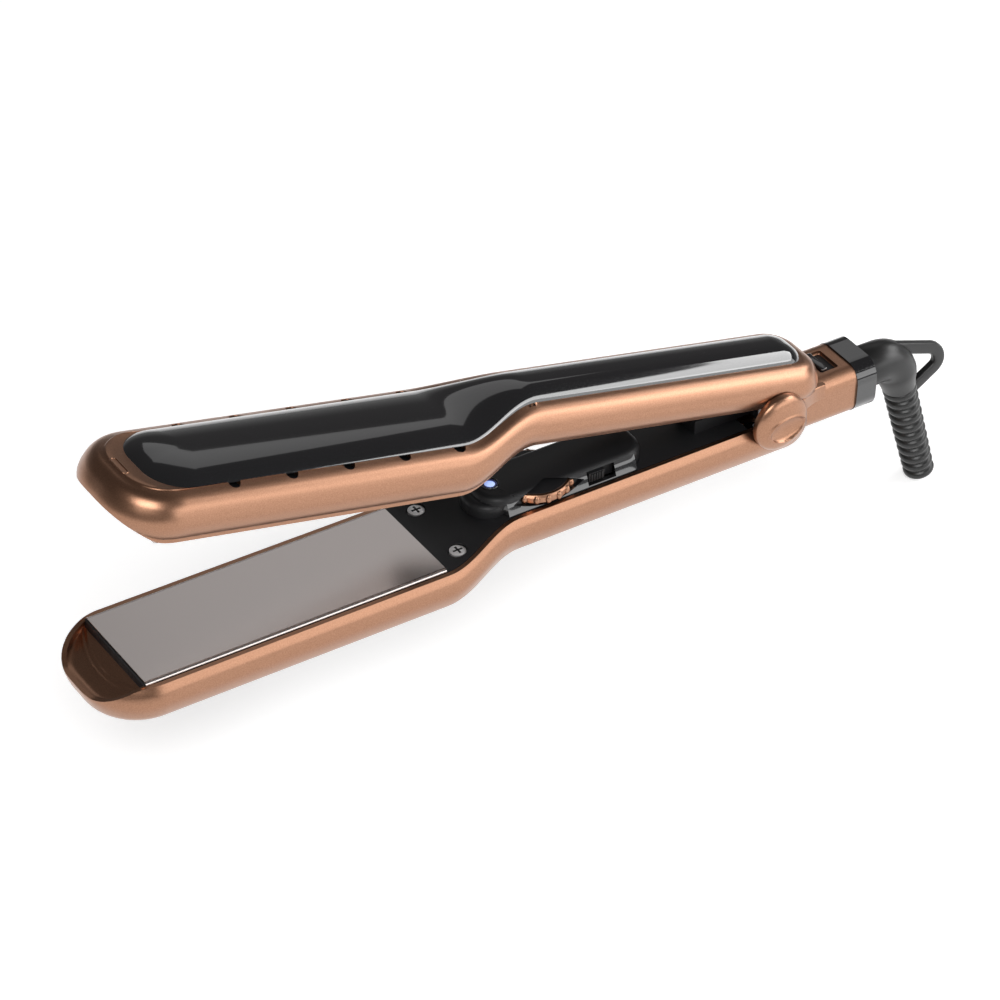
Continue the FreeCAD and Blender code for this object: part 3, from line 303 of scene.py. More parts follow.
def joined(name, meshes):
    work = bmesh.new()
    for mesh in meshes:
        work.from_mesh(mesh)
    result = bpy.data.meshes.new(name)
    work.to_mesh(result)
    work.free()
    return result


def box_mesh(low, high, bevel=0.0, segments=3):
    work = bmesh.new()
    bmesh.ops.create_cube(work, size=1.0)
    for vert in work.verts:
        for axis in range(3):
            vert.co[axis] = low[axis] if vert.co[axis] < 0 else high[axis]
    if bevel:
        bmesh.ops.bevel(
            work, geom=work.edges[:], offset=bevel, segments=segments, profile=0.5, affect="EDGES")
    mesh = bpy.data.meshes.new("box")
    work.to_mesh(mesh)
    work.free()
    return mesh


def upright_cylinder(x, y, z_low, z_high, radius, sides=32):
    rows = []
    for z in (z_low, z_high):
        rows.append([
            Vector((x + radius * math.cos(a), y + radius * math.sin(a), z))
            for a in (2 * math.pi * k / sides for k in range(sides))])
    mesh = grid_mesh("rod", rows)
    work = bmesh.new()
    work.from_mesh(mesh)
    bmesh.ops.holes_fill(work, edges=work.edges[:])
    bmesh.ops.recalc_face_normals(work, faces=work.faces)
    work.to_mesh(mesh)
    work.free()
    return mesh


# ---------------------------------------------------------------- the arms' form

_, PLATE_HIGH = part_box("lower_plate")
HOUSING_LOW, HOUSING_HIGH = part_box("lower_housing")
HINGE = Vector(next(j["pos_m"] for j in frame["joints"] if j["name"] == "arm_hinge"))
OPENING = -math.radians(next(j["range_deg"][0] for j in frame["joints"] if j["name"] == "arm_hinge"))
SWING = (
    Matrix.Translation(HINGE) @ Matrix.Rotation(OPENING, 4, "Y") @ Matrix.Translation(-HINGE))

PLATE_REAR = PLATE_HIGH.x
NOSE_X = HOUSING_LOW.x
TAIL_X = HOUSING_HIGH.x
HEAD_HALF = HOUSING_HIGH.y
HANDLE_HALF = 15.7 * MM
ARM_DEPTH = PLATE_HIGH.z
ARM_GAP = 1.4 * MM
ARM_SETBACK = 1.45 * MM
NECK = 31.5 * MM
LIP_DROP = 1.0 * MM
NOSE_RADIUS = 20.0 * MM
TAIL_RADIUS = 12.0 * MM
WALL = 1.5 * MM
SEAM_INSET = 6.7 * MM
SEAM_SHARE = 0.79
LEDGE = 2.0 * MM
COVER_SETBACK = 13.5 * MM
COVER_NOSE_RADIUS = 13.0 * MM
COVER_TAIL_SETBACK = 7.5 * MM
COVER_TAIL_RADIUS = 7.0 * MM

# The wall's section: share of the depth below the rim, and inset from the widest outline.
SECTION = (
    (0.0, 2.2 * MM), (0.17, 0.55 * MM), (0.35, 0.0), (0.58, 1.35 * MM), (0.70, 2.9 * MM),
    (0.755, 4.4 * MM), (SEAM_SHARE, SEAM_INSET))


def section_inset(share):
    """The wall's inset at a share of the depth, as a smooth curve through the section's points."""
    last = len(SECTION) - 1
    k = next((i for i in range(last) if share <= SECTION[i + 1][0]), last - 1)
    (s0, a), (s1, b) = SECTION[k], SECTION[k + 1]
    before = SECTION[max(k - 1, 0)]
    after = SECTION[min(k + 2, last)]
    slope_in = (b - before[1]) / (s1 - before[0])
    slope_out = (after[1] - a) / (after[0] - s0)
    if k == last - 1:
        slope_out = 2.0 * (b - a) / (s1 - s0) - slope_in * 0.5
    run = s1 - s0
    t = (share - s0) / run
    return (
        a * (1 + 2 * t) * (1 - t) ** 2 + slope_in * run * t * (1 - t) ** 2
        + b * t * t * (3 - 2 * t) + slope_out * run * t * t * (t - 1))


class Outline:
    """A plan outline that follows the arm's sides: rounded front, sides, rounded tail."""

    FRONT, ARC, SIDE = 6, 20, 150

    def __init__(self, form, front, front_radius, tail, tail_radius, base):
        self.form = form
        self.front = front + form.setback
        self.tail = tail + form.setback
        self.front_radius = front_radius
        self.tail_radius = tail_radius
        self.base = base
        half = [("front", k / self.FRONT) for k in range(self.FRONT)]
        half += [("front_arc", k / self.ARC) for k in range(self.ARC + 1)]
        half += [("side", (k + 0.04) / self.SIDE) for k in range(self.SIDE)]
        half += [("tail_arc", k / self.ARC) for k in range(self.ARC + 1)]
        half += [("tail", (k + 1) / self.FRONT) for k in range(self.FRONT)]
        back = [(kind, t, -1) for kind, t in reversed(half[1:-1])]
        self.stations = [(kind, t, 1) for kind, t in half] + back

    def point(self, station, inset):
        """The plan position of a station at an inset from the widest outline."""
        kind, t, side = station
        extra = inset - self.base
        front_radius = max(self.front_radius - extra, 0.0)
        tail_radius = max(self.tail_radius - extra, 0.0)
        front_x = self.front + self.front_radius
        tail_x = self.tail - self.tail_radius
        front_y = HEAD_HALF - self.base - self.front_radius
        tail_y = HANDLE_HALF - self.base - self.tail_radius
        turn = t * math.pi / 2
        if kind == "front":
            return front_x - front_radius, side * front_y * t
        if kind == "front_arc":
            return front_x - front_radius * math.cos(turn), side * (front_y + front_radius * math.sin(turn))
        if kind == "side":
            x = mix(front_x, tail_x, t)
            return x, side * (self.form.half_width(x) - inset)
        if kind == "tail_arc":
            return tail_x + tail_radius * math.sin(turn), side * (tail_y + tail_radius * math.cos(turn))
        return tail_x + tail_radius, side * tail_y * (1.0 - t)


class ArmForm:
    """One arm, closed: its contact plane, the way its depth runs and how far its handle is raised."""

    def __init__(self, name, way, face, rim_rise, crown_rise, setback):
        self.name = name
        self.body = name + "_arm"
        self.way = way
        self.face = face
        self.rim = face + way * LIP_DROP
        self.crown = face + way * ARM_DEPTH
        self.rim_rise = rim_rise
        self.crown_rise = crown_rise
        self.setback = setback
        self.skin = Outline(self, NOSE_X, NOSE_RADIUS, TAIL_X, TAIL_RADIUS, 0.0)
        self.cover = Outline(
            self, NOSE_X + COVER_SETBACK, COVER_NOSE_RADIUS,
            TAIL_X - COVER_TAIL_SETBACK, COVER_TAIL_RADIUS, SEAM_INSET)

    def blend(self, x):
        return smooth((x - self.setback - PLATE_REAR) / NECK)

    def half_width(self, x):
        return mix(HEAD_HALF, HANDLE_HALF, self.blend(x))

    def height(self, x, share, lift=0.0):
        rim = self.rim + self.rim_rise * self.blend(x)
        crown = self.crown + self.crown_rise * self.blend(x)
        return mix(rim, crown, share) + self.way * lift

    def placed(self, mesh):
        """The upper arm's meshes are swung open about the hinge."""
        if self.way > 0:
            mesh.transform(SWING)
        return mesh


LOWER = ArmForm("lower", -1, ARM_DEPTH, 5.4 * MM, 5.5 * MM, 0.0)
UPPER = ArmForm("upper", 1, ARM_DEPTH + ARM_GAP, 8.4 * MM, 6.5 * MM, ARM_SETBACK)


# ---------------------------------------------------------------- housings

NOSE_STEP = 3.9 * MM
NOSE_FALL = 3.6 * MM
NOSE_SAG = 1.2 * MM
NOSE_OVERLAP = 0.6 * MM
NOSE_BLEND = 13.0 * MM
TAIL_RELIEF = 2.8 * MM
THIN_WALL = 1.0 * MM
LIP_FALL = 1.5 * MM
LIP_FADE = 2.0 * MM
STEP_SHARE = 0.02
STEP_DEPTH = 0.75 * MM
SKIN_ROWS = 26


def scoop_depth(form, x):
    """How far the nose's hollow sweep lies below the contact plane."""
    run = (-PLATE_REAR - (x - form.setback)) / (NOSE_X - 1.0 * MM + PLATE_REAR) * -1.0
    run = min(max(run, 0.0), 1.0)
    return NOSE_STEP + NOSE_FALL * run + NOSE_SAG * 4.0 * run * (1.0 - run)


def rim_share(form, x):
    """Where the wall's edge lies: at the rim, on the nose sweep, or raised over the rear sleeve."""
    if x < -PLATE_REAR - NOSE_OVERLAP:
        fall = min((-PLATE_REAR - NOSE_OVERLAP - x) / NOSE_BLEND, 1.0) ** 1.4
        return fall * (scoop_depth(form, x) - LIP_DROP) / (ARM_DEPTH - LIP_DROP)
    if form.way > 0 and x > HINGE.x:
        room = ARM_DEPTH - LIP_DROP - form.rim_rise + form.crown_rise
        return TAIL_RELIEF / room
    return 0.0


def stepped(form, x):
    """How much of the stepped lip there is: all beside the upper plate, none at the nose and handle."""
    if form is LOWER:
        return 0.0
    return (1.0 - form.blend(x)) * (1.0 - smooth((LIP_FADE - PLATE_REAR - x) / (5.0 * LIP_FADE)))


def housing_mesh(form):
    outline = form.skin
    rows = []

    def add_row(place):
        row = []
        for station in outline.stations:
            x0, _ = outline.point(station, 0.0)
            inset, share, lift = place(x0, rim_share(form, x0))
            x, y = outline.point(station, inset)
            row.append(Vector((x, y, form.height(x0, share, lift))))
        rows.append(row)

    def wall_place(t, step):
        def place(x, low):
            share = mix(low, SEAM_SHARE, t)
            return section_inset(share) + step * stepped(form, x), share, 0.0
        return place

    def rim_place(inset, step):
        def place(x, low):
            lip = stepped(form, x)
            return section_inset(low) + inset + step * lip, low, -LIP_FALL * lip
        return place

    add_row(rim_place(THIN_WALL + 0.6 * MM, 0.0))
    add_row(rim_place(THIN_WALL, 0.0))
    add_row(rim_place(0.3 * MM, STEP_DEPTH))
    add_row(rim_place(0.0, STEP_DEPTH))
    add_row(wall_place(STEP_SHARE, STEP_DEPTH))
    add_row(wall_place(STEP_SHARE + 0.004, 0.15 * MM))
    for k in range(1, SKIN_ROWS + 1):
        add_row(wall_place(mix(STEP_SHARE + 0.02, 1.0, k / SKIN_ROWS), 0.0))

    # the deck round and under the outer cover, raised into a low plateau at the nose
    for t, lift in ((0.06, 0.30), (0.12, 0.42), (0.5, 0.25), (0.94, 0.10), (1.0, -0.2)):
        row = []
        for station in outline.stations:
            x0, y0 = outline.point(station, SEAM_INSET)
            x1, y1 = form.cover.point(station, SEAM_INSET + LEDGE * (t > 0.99))
            gap = math.hypot(x1 - x0, y1 - y0)
            nose = smooth((gap - 1.5 * MM) / (4.0 * MM)) if x0 < 0 else 0.0
            x, y = mix(x0, x1, t), mix(y0, y1, t)
            row.append(Vector((x, y, form.height(x, SEAM_SHARE, lift * nose * MM))))
        rows.append(row)
    floor = SEAM_SHARE - WALL / ARM_DEPTH
    row = []
    for station in outline.stations:
        x, y = form.cover.point(station, SEAM_INSET + LEDGE)
        row.append(Vector((x, y, form.height(x, floor))))
    rows.append(row)
    for inset, share in ((SEAM_INSET, floor), (1.9 * MM + WALL, floor - 0.12), (WALL + 0.3 * MM, 0.40)):
        add_row(lambda x, low, i=inset, s=share: (i, max(s, low + 0.03), 0.0))
    return grid_mesh(form.name + "_housing_skin", rows, closed=True)


VENT_COUNT = 5
VENT_PITCH = 20.7 * MM
VENT_FIRST = 24.3 * MM
VENT_RADIUS = 2.3 * MM


def vent_places(form):
    for index in range(VENT_COUNT):
        x = -PLATE_REAR + VENT_FIRST + form.setback + index * VENT_PITCH
        for side in (-1, 1):
            yield x, side * (form.half_width(x) - SEAM_INSET), side


def build_housing(form):
    mesh = housing_mesh(form)
    clean(mesh)
    cutters = []
    for x, y, _ in vent_places(form):
        z0, z1 = sorted((form.height(x, 0.55), form.height(x, 0.95)))
        cutters.append(upright_cylinder(x, y, z0, z1, VENT_RADIUS))
    if form is LOWER:
        low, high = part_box("rear_sleeve")
        room = 0.3 * MM
        cutters.append(box_mesh(
            (HINGE.x + 10 * MM - room, -11 * MM - room, low.z - room),
            (high.x, 11 * MM + room, HINGE.z + 10 * MM), 1.0 * MM))
    mesh = cut_away(mesh, joined("cutters", cutters))
    add_piece(
        form.name + "_housing_shell", form.placed(mesh), "copper_satin", form.body,
        form.name + "_housing", sharp=30.0)


SWEEP_STEPS = 30
BOWL_DEPTH = 0.6 * MM
RIDGE_PLACES = (4.6 * MM, 6.2 * MM)
RIDGE_SIZE = 0.35 * MM
RIDGE_BOW = 5.2 * MM


def build_nose_sweep(form):
    """The hollow inner face of the nose, with two fine crescent ridges in front of the plate."""
    outline = form.skin
    stations = [s for s in outline.stations if s[0] in ("front", "front_arc")]
    stations.sort(key=lambda s: s[2] * (s[1] if s[0] == "front" else 1.0 + s[1]))
    plate_x = -PLATE_REAR
    half = PLATE_HIGH.y + 0.6 * MM
    rows = []
    for k in range(SWEEP_STEPS + 1):
        t = k / SWEEP_STEPS
        row = []
        for station in stations:
            x0, y0 = outline.point(station, 0.0)
            low = rim_share(form, x0)
            edge_depth = LIP_DROP + low * (ARM_DEPTH - LIP_DROP) + 0.1 * MM
            x0, y0 = outline.point(station, section_inset(low) + 0.5 * MM)
            x = mix(x0, plate_x, t)
            y = mix(y0, min(max(y0, -half), half), t)
            depth = mix(edge_depth, scoop_depth(form, x), smooth(t * 2.5))
            bowl = BOWL_DEPTH * smooth(t * 4.0) * (1.0 - (y / HEAD_HALF) ** 2)
            reach = (plate_x - x) + RIDGE_BOW * (y / half) ** 2
            ridge = 0.0
            for place in RIDGE_PLACES:
                ridge += RIDGE_SIZE * math.exp(-((reach - place) / RIDGE_SIZE) ** 2)
            z = form.face + form.way * (depth + bowl * (1.0 - smooth((t - 0.7) / 0.3)) - ridge)
            row.append(Vector((x, y, z)))
        rows.append(row)
    under = [[Vector((p.x, p.y, p.z + form.way * 1.2 * MM)) for p in row] for row in rows]
    mesh = joined("sweep", [
        grid_mesh("top", rows, ring=False), grid_mesh("under", under, ring=False),
        grid_mesh("front_edge", [rows[0], under[0]], ring=False),
        grid_mesh("rear_edge", [rows[-1], under[-1]], ring=False),
        grid_mesh("near_edge", [[r[0] for r in rows], [r[0] for r in under]], ring=False),
        grid_mesh("far_edge", [[r[-1] for r in rows], [r[-1] for r in under]], ring=False)])
    add_piece(form.name + "_nose_sweep", form.placed(mesh), "copper_satin", form.body, sharp=50.0)


def build_vent_trims(form):
    """A thin raised rim round each vent and a dark screen strip behind the vents."""
    rims = []
    for x, y, side in vent_places(form):
        rows = []
        for k in range(17):
            turn = math.pi * k / 16
            centre = Vector((math.cos(turn), side * math.sin(turn), 0.0)) * VENT_RADIUS
            ring = []
            for j in range(8):
                a = 2 * math.pi * j / 8
                offset = centre.normalized() * (0.22 * MM * math.cos(a))
                point = centre + offset
                drop = side * point.y / MM * 0.42 * MM
                ring.append(Vector((
                    x + point.x, y + point.y,
                    form.height(x, SEAM_SHARE) - form.way * drop + 0.22 * MM * math.sin(a))))
            rows.append(ring)
        rims.append(grid_mesh("rim", rows, cap_last=True))
    add_piece(
        form.name + "_vent_rims", form.placed(joined("rims", rims)), "copper_satin", form.body)
    screens = []
    for side in (-1, 1):
        y = side * (HEAD_HALF - SEAM_INSET)
        x0 = -PLATE_REAR + VENT_FIRST + form.setback - 4 * MM
        x1 = x0 + VENT_PITCH * (VENT_COUNT - 1) + 8 * MM
        z0, z1 = sorted((form.height(x0, 0.60), form.height(x0, 0.66)))
        screens.append(box_mesh((x0, y - 3.0 * MM, z0), (x1, y + 3.0 * MM, z1), 0.3 * MM))
    add_piece(
        form.name + "_vent_screens", form.placed(joined("screens", screens)), "black_matte", form.body)


COVER_ROWS = 22
EDGE_START = 0.05


def build_outer_cover(form):
    """The glossy outer cover: a crowned shell on the upper arm, with a flat land on the lower one."""
    outline = form.cover
    power, edge = (2.3, 0.0) if form is UPPER else (3.4, 0.45)
    first = EDGE_START / (1.0 - edge)
    edge_rise = (1.0 - (1.0 - first) ** power) ** (1.0 / power)
    spine_front = outline.front + 19.0 * MM
    spine_tail = outline.tail - 9.0 * MM
    rows = []
    for k in range(COVER_ROWS + 1):
        t = (k / COVER_ROWS) ** 1.6
        spread_in = min(mix(EDGE_START, 1.0, t) / (1.0 - edge), 1.0)
        rise = (1.0 - (1.0 - spread_in) ** power) ** (1.0 / power)
        row = []
        for station in outline.stations:
            x0, y0 = outline.point(station, SEAM_INSET)
            x1 = min(max(x0, spine_front), spine_tail)
            x, y = mix(x0, x1, t), mix(y0, 0.0, t)
            share = mix(SEAM_SHARE - 0.004, 1.0, (rise - edge_rise) / (1.0 - edge_rise))
            row.append(Vector((x, y, form.height(x, share))))
        rows.append(row)
    under = []
    for row in rows:
        under.append([Vector((mix(p.x, min(max(p.x, spine_front), spine_tail), 0.06), p.y * 0.93,
                              p.z - form.way * 1.3 * MM)) for p in row])
    mesh = grid_mesh(form.name + "_cover_skin", rows[::-1] + under)
    add_piece(
        form.name + "_cover_shell", form.placed(mesh), "black_gloss", form.body,
        form.name + "_outer_cover", sharp=60.0)


def build_nose_mark(form):
    """A plain capsule-shaped raised line on the nose plateau, in front of the cover."""
    rows = []
    centre_x = NOSE_X + form.setback + 8.2 * MM
    for k in range(48):
        a = 2 * math.pi * k / 48
        y = 1.1 * MM * math.sin(a) + math.copysign(3.2 * MM, math.sin(a))
        x = centre_x + 1.1 * MM * math.cos(a)
        z = form.height(x, SEAM_SHARE) + form.way * 0.30 * MM
        out = Vector((math.cos(a), math.sin(a), 0.0))
        rows.append([
            Vector((x, y, z)) + (out * math.cos(b) + Vector((0, 0, math.sin(b)))) * 0.32 * MM
            for b in (2 * math.pi * j / 10 for j in range(10))])
    mesh = grid_mesh("mark", rows, closed=True)
    add_piece(form.name + "_nose_mark", form.placed(mesh), "copper_satin", form.body, sharp=60.0)


def build_arms():
    for form in (LOWER, UPPER):
        build_housing(form)
        build_nose_sweep(form)
        build_vent_trims(form)
        build_outer_cover(form)


build_arms()
build_nose_mark(UPPER)


# ---------------------------------------------------------------- hinge caps

CAP_RINGS = 40
CAP_SIDES = 96
CAP_SKIRT = 16.1 * MM
CAP_HEIGHT = 4.6 * MM
DISH_PLACE, DISH_HALF = (0.13, -0.18), (0.70, 0.46)


def build_cap(tag, side):
    """A domed cap with a lens-shaped dish set low and a raised lip along its upper side."""
    low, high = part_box("hinge_cap_" + tag)
    radius = (high.z - low.z) / 2
    rows = []
    for k in range(CAP_RINGS + 1):
        r = k / CAP_RINGS
        ring = []
        for j in range(CAP_SIDES):
            a = 2 * math.pi * j / CAP_SIDES
            x, z = r * math.cos(a), r * math.sin(a)
            dome = math.sqrt(max(1.0 - 0.96 * r ** 2.6, 0.0))
            lift = mix(0.25, 1.0, dome)
            q = ((x - DISH_PLACE[0]) / DISH_HALF[0]) ** 2 + ((z - DISH_PLACE[1]) / DISH_HALF[1]) ** 2
            dish = 0.52 * max(1.0 - q, 0.0) ** 0.6
            dish -= 0.09 * math.exp(-((q - 1.12) / 0.22) ** 2) * smooth((z + 0.30) / 0.3)
            out = CAP_SKIRT + CAP_HEIGHT * (lift - dish)
            ring.append(Vector((HINGE.x + x * radius, side * out, HINGE.z + z * radius)))
        rows.append(ring)
    base = [Vector((p.x, side * CAP_SKIRT, p.z)) for p in rows[-1]]
    rows.append(base)
    mesh = grid_mesh("cap", rows, cap_last=True)
    add_piece(
        f"hinge_cap_dome_{tag}", mesh, "copper_satin", "lower_arm", "hinge_cap_" + tag, sharp=40.0)


build_cap("near", -1)
build_cap("far", 1)


# ---------------------------------------------------------------- control pod

POD_LOW, POD_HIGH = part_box("control_pod")
DIAL_LOW, DIAL_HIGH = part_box("temperature_dial")
DECK_Z = LOWER.height(POD_LOW.x + 20 * MM, 0.0)
POD_SIDES = 24
POD_EDGE = 2.6 * MM
POD_FLOOR = 1.2 * MM
POD_CROWN = 0.35 * MM
BUMPER_REACH = 3.0 * MM
BUMPER_RUN = 40 * MM
BUMPER_DROP = 2.5 * MM
GROOVE_RUN = 6.6 * MM
SLOT_RISE = 0.1 * MM
WINDOW_ROOM = Vector((0.6, 0.0, 0.5)) * MM
WINDOW_TRAVEL = 4.1 * MM


def pod_outline(inset, z, low_x, high_x, half, end_radius):
    """A round-ended plan outline, drawn in by the inset."""
    ring = []
    radius = max(end_radius - inset, 0.02 * MM)
    corners = (
        (high_x - end_radius, half - end_radius, 0.0), (low_x + end_radius, half - end_radius, 0.5),
        (low_x + end_radius, end_radius - half, 1.0), (high_x - end_radius, end_radius - half, 1.5))
    for x, y, quarter in corners:
        for k in range(POD_SIDES + 1):
            a = math.pi * (quarter + 0.5 * k / POD_SIDES)
            ring.append(Vector((x + radius * math.cos(a), y + radius * math.sin(a), z)))
    return ring


def rounded_top(low_x, high_x, half, end_radius, z_low, z_high, edge, crown=0.0):
    """Rings of a block with a rolled top edge and a slightly crowned top."""
    rows = [pod_outline(0.0, z_low, low_x, high_x, half, end_radius)]
    rows.append(pod_outline(0.0, z_high - edge, low_x, high_x, half, end_radius))
    for k in range(1, 9):
        a = math.pi / 2 * k / 8
        inset = edge * (1.0 - math.cos(a))
        rows.append(pod_outline(
            inset, z_high - edge * (1.0 - math.sin(a)) - crown, low_x, high_x, half, end_radius))
    last = rows[-1]
    for t in (0.25, 0.55, 0.85, 1.0):
        rows.append([
            Vector((mix(p.x, min(max(p.x, low_x + half), high_x - half), t), p.y * (1.0 - t),
                    p.z + crown * (1.0 - (1.0 - t) ** 2)))
            for p in last])
    return rows


def lens_prism(x, z, length, height, y_near, y_far):
    """An eye-shaped prism along Y, for the slot of the thumb wheel."""
    steps = 24
    outline = []
    for k in range(steps + 1):
        t = -1.0 + 2.0 * k / steps
        outline.append((x + t * length / 2, z + height / 2 * (1.0 - t * t)))
    for k in range(1, steps):
        t = 1.0 - 2.0 * k / steps
        outline.append((x + t * length / 2, z - height / 2 * (1.0 - t * t)))
    rows = [[Vector((px, y, pz)) for px, pz in outline] for y in (y_near, y_far)]
    return filled(grid_mesh("lens", rows, cap_last=True))


def build_pod():
    """The pod's cap with its thumb-wheel slot and switch window, and the bumper round its front."""
    half = POD_HIGH.y
    radius = half - 1.0 * MM
    floor = DECK_Z - POD_FLOOR
    rows = rounded_top(POD_LOW.x, POD_HIGH.x, half, radius, floor, POD_HIGH.z, POD_EDGE, POD_CROWN)
    mesh = filled(grid_mesh("pod", rows, cap_last=True))
    dial_x = (DIAL_LOW.x + DIAL_HIGH.x) / 2
    dial_z = (DIAL_LOW.z + DIAL_HIGH.z) / 2
    switch_low, switch_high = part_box("power_switch")
    slot = lens_prism(dial_x, dial_z + SLOT_RISE, 27.5 * MM, 6.4 * MM, -half - 3 * MM, -2.0 * MM)
    window = box_mesh(
        (switch_low.x - WINDOW_ROOM.x, -half - 2 * MM, switch_low.z - WINDOW_ROOM.z),
        (switch_high.x + WINDOW_TRAVEL, -half + 1.6 * MM, switch_high.z + WINDOW_ROOM.z))
    lamp_low, lamp_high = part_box("led_bezel")
    lamp_x = (lamp_low.x + lamp_high.x) / 2
    well = upright_cylinder(
        lamp_x, 0.0, POD_HIGH.z - 1.4 * MM, POD_HIGH.z + 2 * MM, 2.9 * MM, sides=48)
    groove = filled(grid_mesh("groove", ring_rows(POD_LOW.x + GROOVE_RUN, half, radius)))
    mesh = cut_away(mesh, joined("tools", [slot, window, well]))
    mesh = cut_away(mesh, groove)
    add_piece("pod_cap", mesh, "black_matte", "lower_arm", "control_pod", sharp=28.0)

    rows = rounded_top(
        POD_LOW.x - BUMPER_REACH, POD_LOW.x + BUMPER_RUN, half - 0.6 * MM, radius - 0.6 * MM, floor,
        POD_HIGH.z - BUMPER_DROP, 2.2 * MM, 0.2 * MM)
    bumper = grid_mesh("bumper", rows, cap_last=True)
    add_piece("pod_front_bumper", bumper, "black_matte", "lower_arm", "pod_bumper", sharp=40.0)
    build_facade(half, dial_x, dial_z)
    build_lamp(lamp_x)


def ring_rows(x, half, radius):
    """A thin crescent groove over the pod, parallel to its round front."""
    rows = []
    for k in range(33):
        a = math.pi * (k / 32 - 0.5)
        centre = Vector((x + radius * (1.0 - math.cos(a)) * 0.75, half * 1.04 * math.sin(a), 0.0))
        edge = smooth((abs(math.sin(a)) - 0.72) / 0.28)
        z = POD_HIGH.z - POD_EDGE * 1.3 * edge ** 1.5 + 0.12 * MM
        rows.append([
            Vector((centre.x + 0.30 * MM * math.cos(b), centre.y, z + 0.42 * MM * math.sin(b)))
            for b in (2 * math.pi * j / 8 for j in range(8))])
    return rows


def build_facade(half, dial_x, dial_z):
    """The glossier side panel, standing proud of the pod, with a wavy upper edge over the wheel."""
    start, end = POD_LOW.x + 5.5 * MM, POD_HIGH.x - 4.5 * MM
    columns = 90
    face = []
    low_z = DECK_Z - 0.8 * MM
    for k in range(columns + 1):
        x = mix(start, end, k / columns)
        over = math.exp(-((x - dial_x) / (11.0 * MM)) ** 2)
        rear = smooth((x - dial_x - 8 * MM) / (20 * MM))
        ends = smooth((x - start) / (1.2 * MM)) * smooth((end - x) / (1.2 * MM))
        top = POD_HIGH.z - 2.1 * MM + 0.8 * MM * over + 0.3 * MM * rear
        top = mix(low_z + 2.0 * MM, top, 0.35 + 0.65 * ends)
        y = -half
        if x < POD_LOW.x + half:
            y = -half + 1.0 * MM * smooth((POD_LOW.x + half - x) / half) ** 2
        if x > POD_HIGH.x - half:
            y = -half + 1.6 * MM * smooth((x - POD_HIGH.x + half) / half) ** 2
        column, inner = [], []
        for j in range(9):
            z = mix(low_z, top, j / 8)
            roll = 0.35 * MM * smooth((j - 5) / 3) ** 2
            foot = (POD_HIGH.z - 1.0 * MM - z) / (POD_HIGH.z - low_z)
            lean = 0.9 * MM - 3.0 * MM * ends * max(foot, 0.0) ** 1.3
            column.append(Vector((x, y - 0.55 * MM + roll + lean, z)))
            inner.append(Vector((x, y + 0.9 * MM, z)))
        face.append(column + inner[::-1])
    mesh = filled(grid_mesh("facade", face))
    slot = lens_prism(dial_x, dial_z + SLOT_RISE, 27.0 * MM, 6.0 * MM, -half - 3 * MM, -3.0 * MM)
    low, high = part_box("power_switch")
    window = box_mesh(
        (low.x - WINDOW_ROOM.x, -half - 2 * MM, low.z - WINDOW_ROOM.z),
        (high.x + WINDOW_TRAVEL, -half + 3.0 * MM, high.z + WINDOW_ROOM.z))
    mesh = cut_away(mesh, joined("tools", [slot, window]))
    add_piece("pod_side_panel", mesh, "black_gloss", "lower_arm", sharp=30.0)


def build_lamp(x):
    """A black ring, a blue collar inside it and a pale domed lens."""
    top = POD_HIGH.z
    rings = (
        ("led_ring", "black_gloss", "black_gloss", 2.45, 3.05, 0.30, ("led_bezel",)),
        ("led_collar", "led_blue", "led_rim", 1.75, 2.50, 0.12, ()))
    for name, slot, finish, inner, outer, rise, nodes in rings:
        rows = []
        for k in range(49):
            a = 2 * math.pi * k / 48
            way = Vector((math.cos(a), math.sin(a), 0.0))
            middle, width = (inner + outer) / 2 * MM, (outer - inner) / 2 * MM
            rows.append([
                Vector((x, 0, top - 0.15 * MM)) + way * (middle + width * math.cos(b))
                + Vector((0, 0, (rise + 0.1) * MM * math.sin(b)))
                for b in (2 * math.pi * j / 12 for j in range(12))])
        mesh = grid_mesh(name, rows[:-1], closed=True)
        add_piece(name, mesh, slot, "lower_arm", *nodes, finish=finish)
    rows = []
    for k in range(12):
        a = math.pi / 2 * k / 11
        rows.append([
            Vector((x + 1.85 * MM * math.cos(a) * math.cos(b), 1.85 * MM * math.cos(a) * math.sin(b),
                    top - 0.45 * MM + 0.7 * MM * math.sin(a)))
            for b in (2 * math.pi * j / 32 for j in range(32))])
    add_piece("led_dome", grid_mesh("dome", rows), "led_blue", "lower_arm", "led_lens")


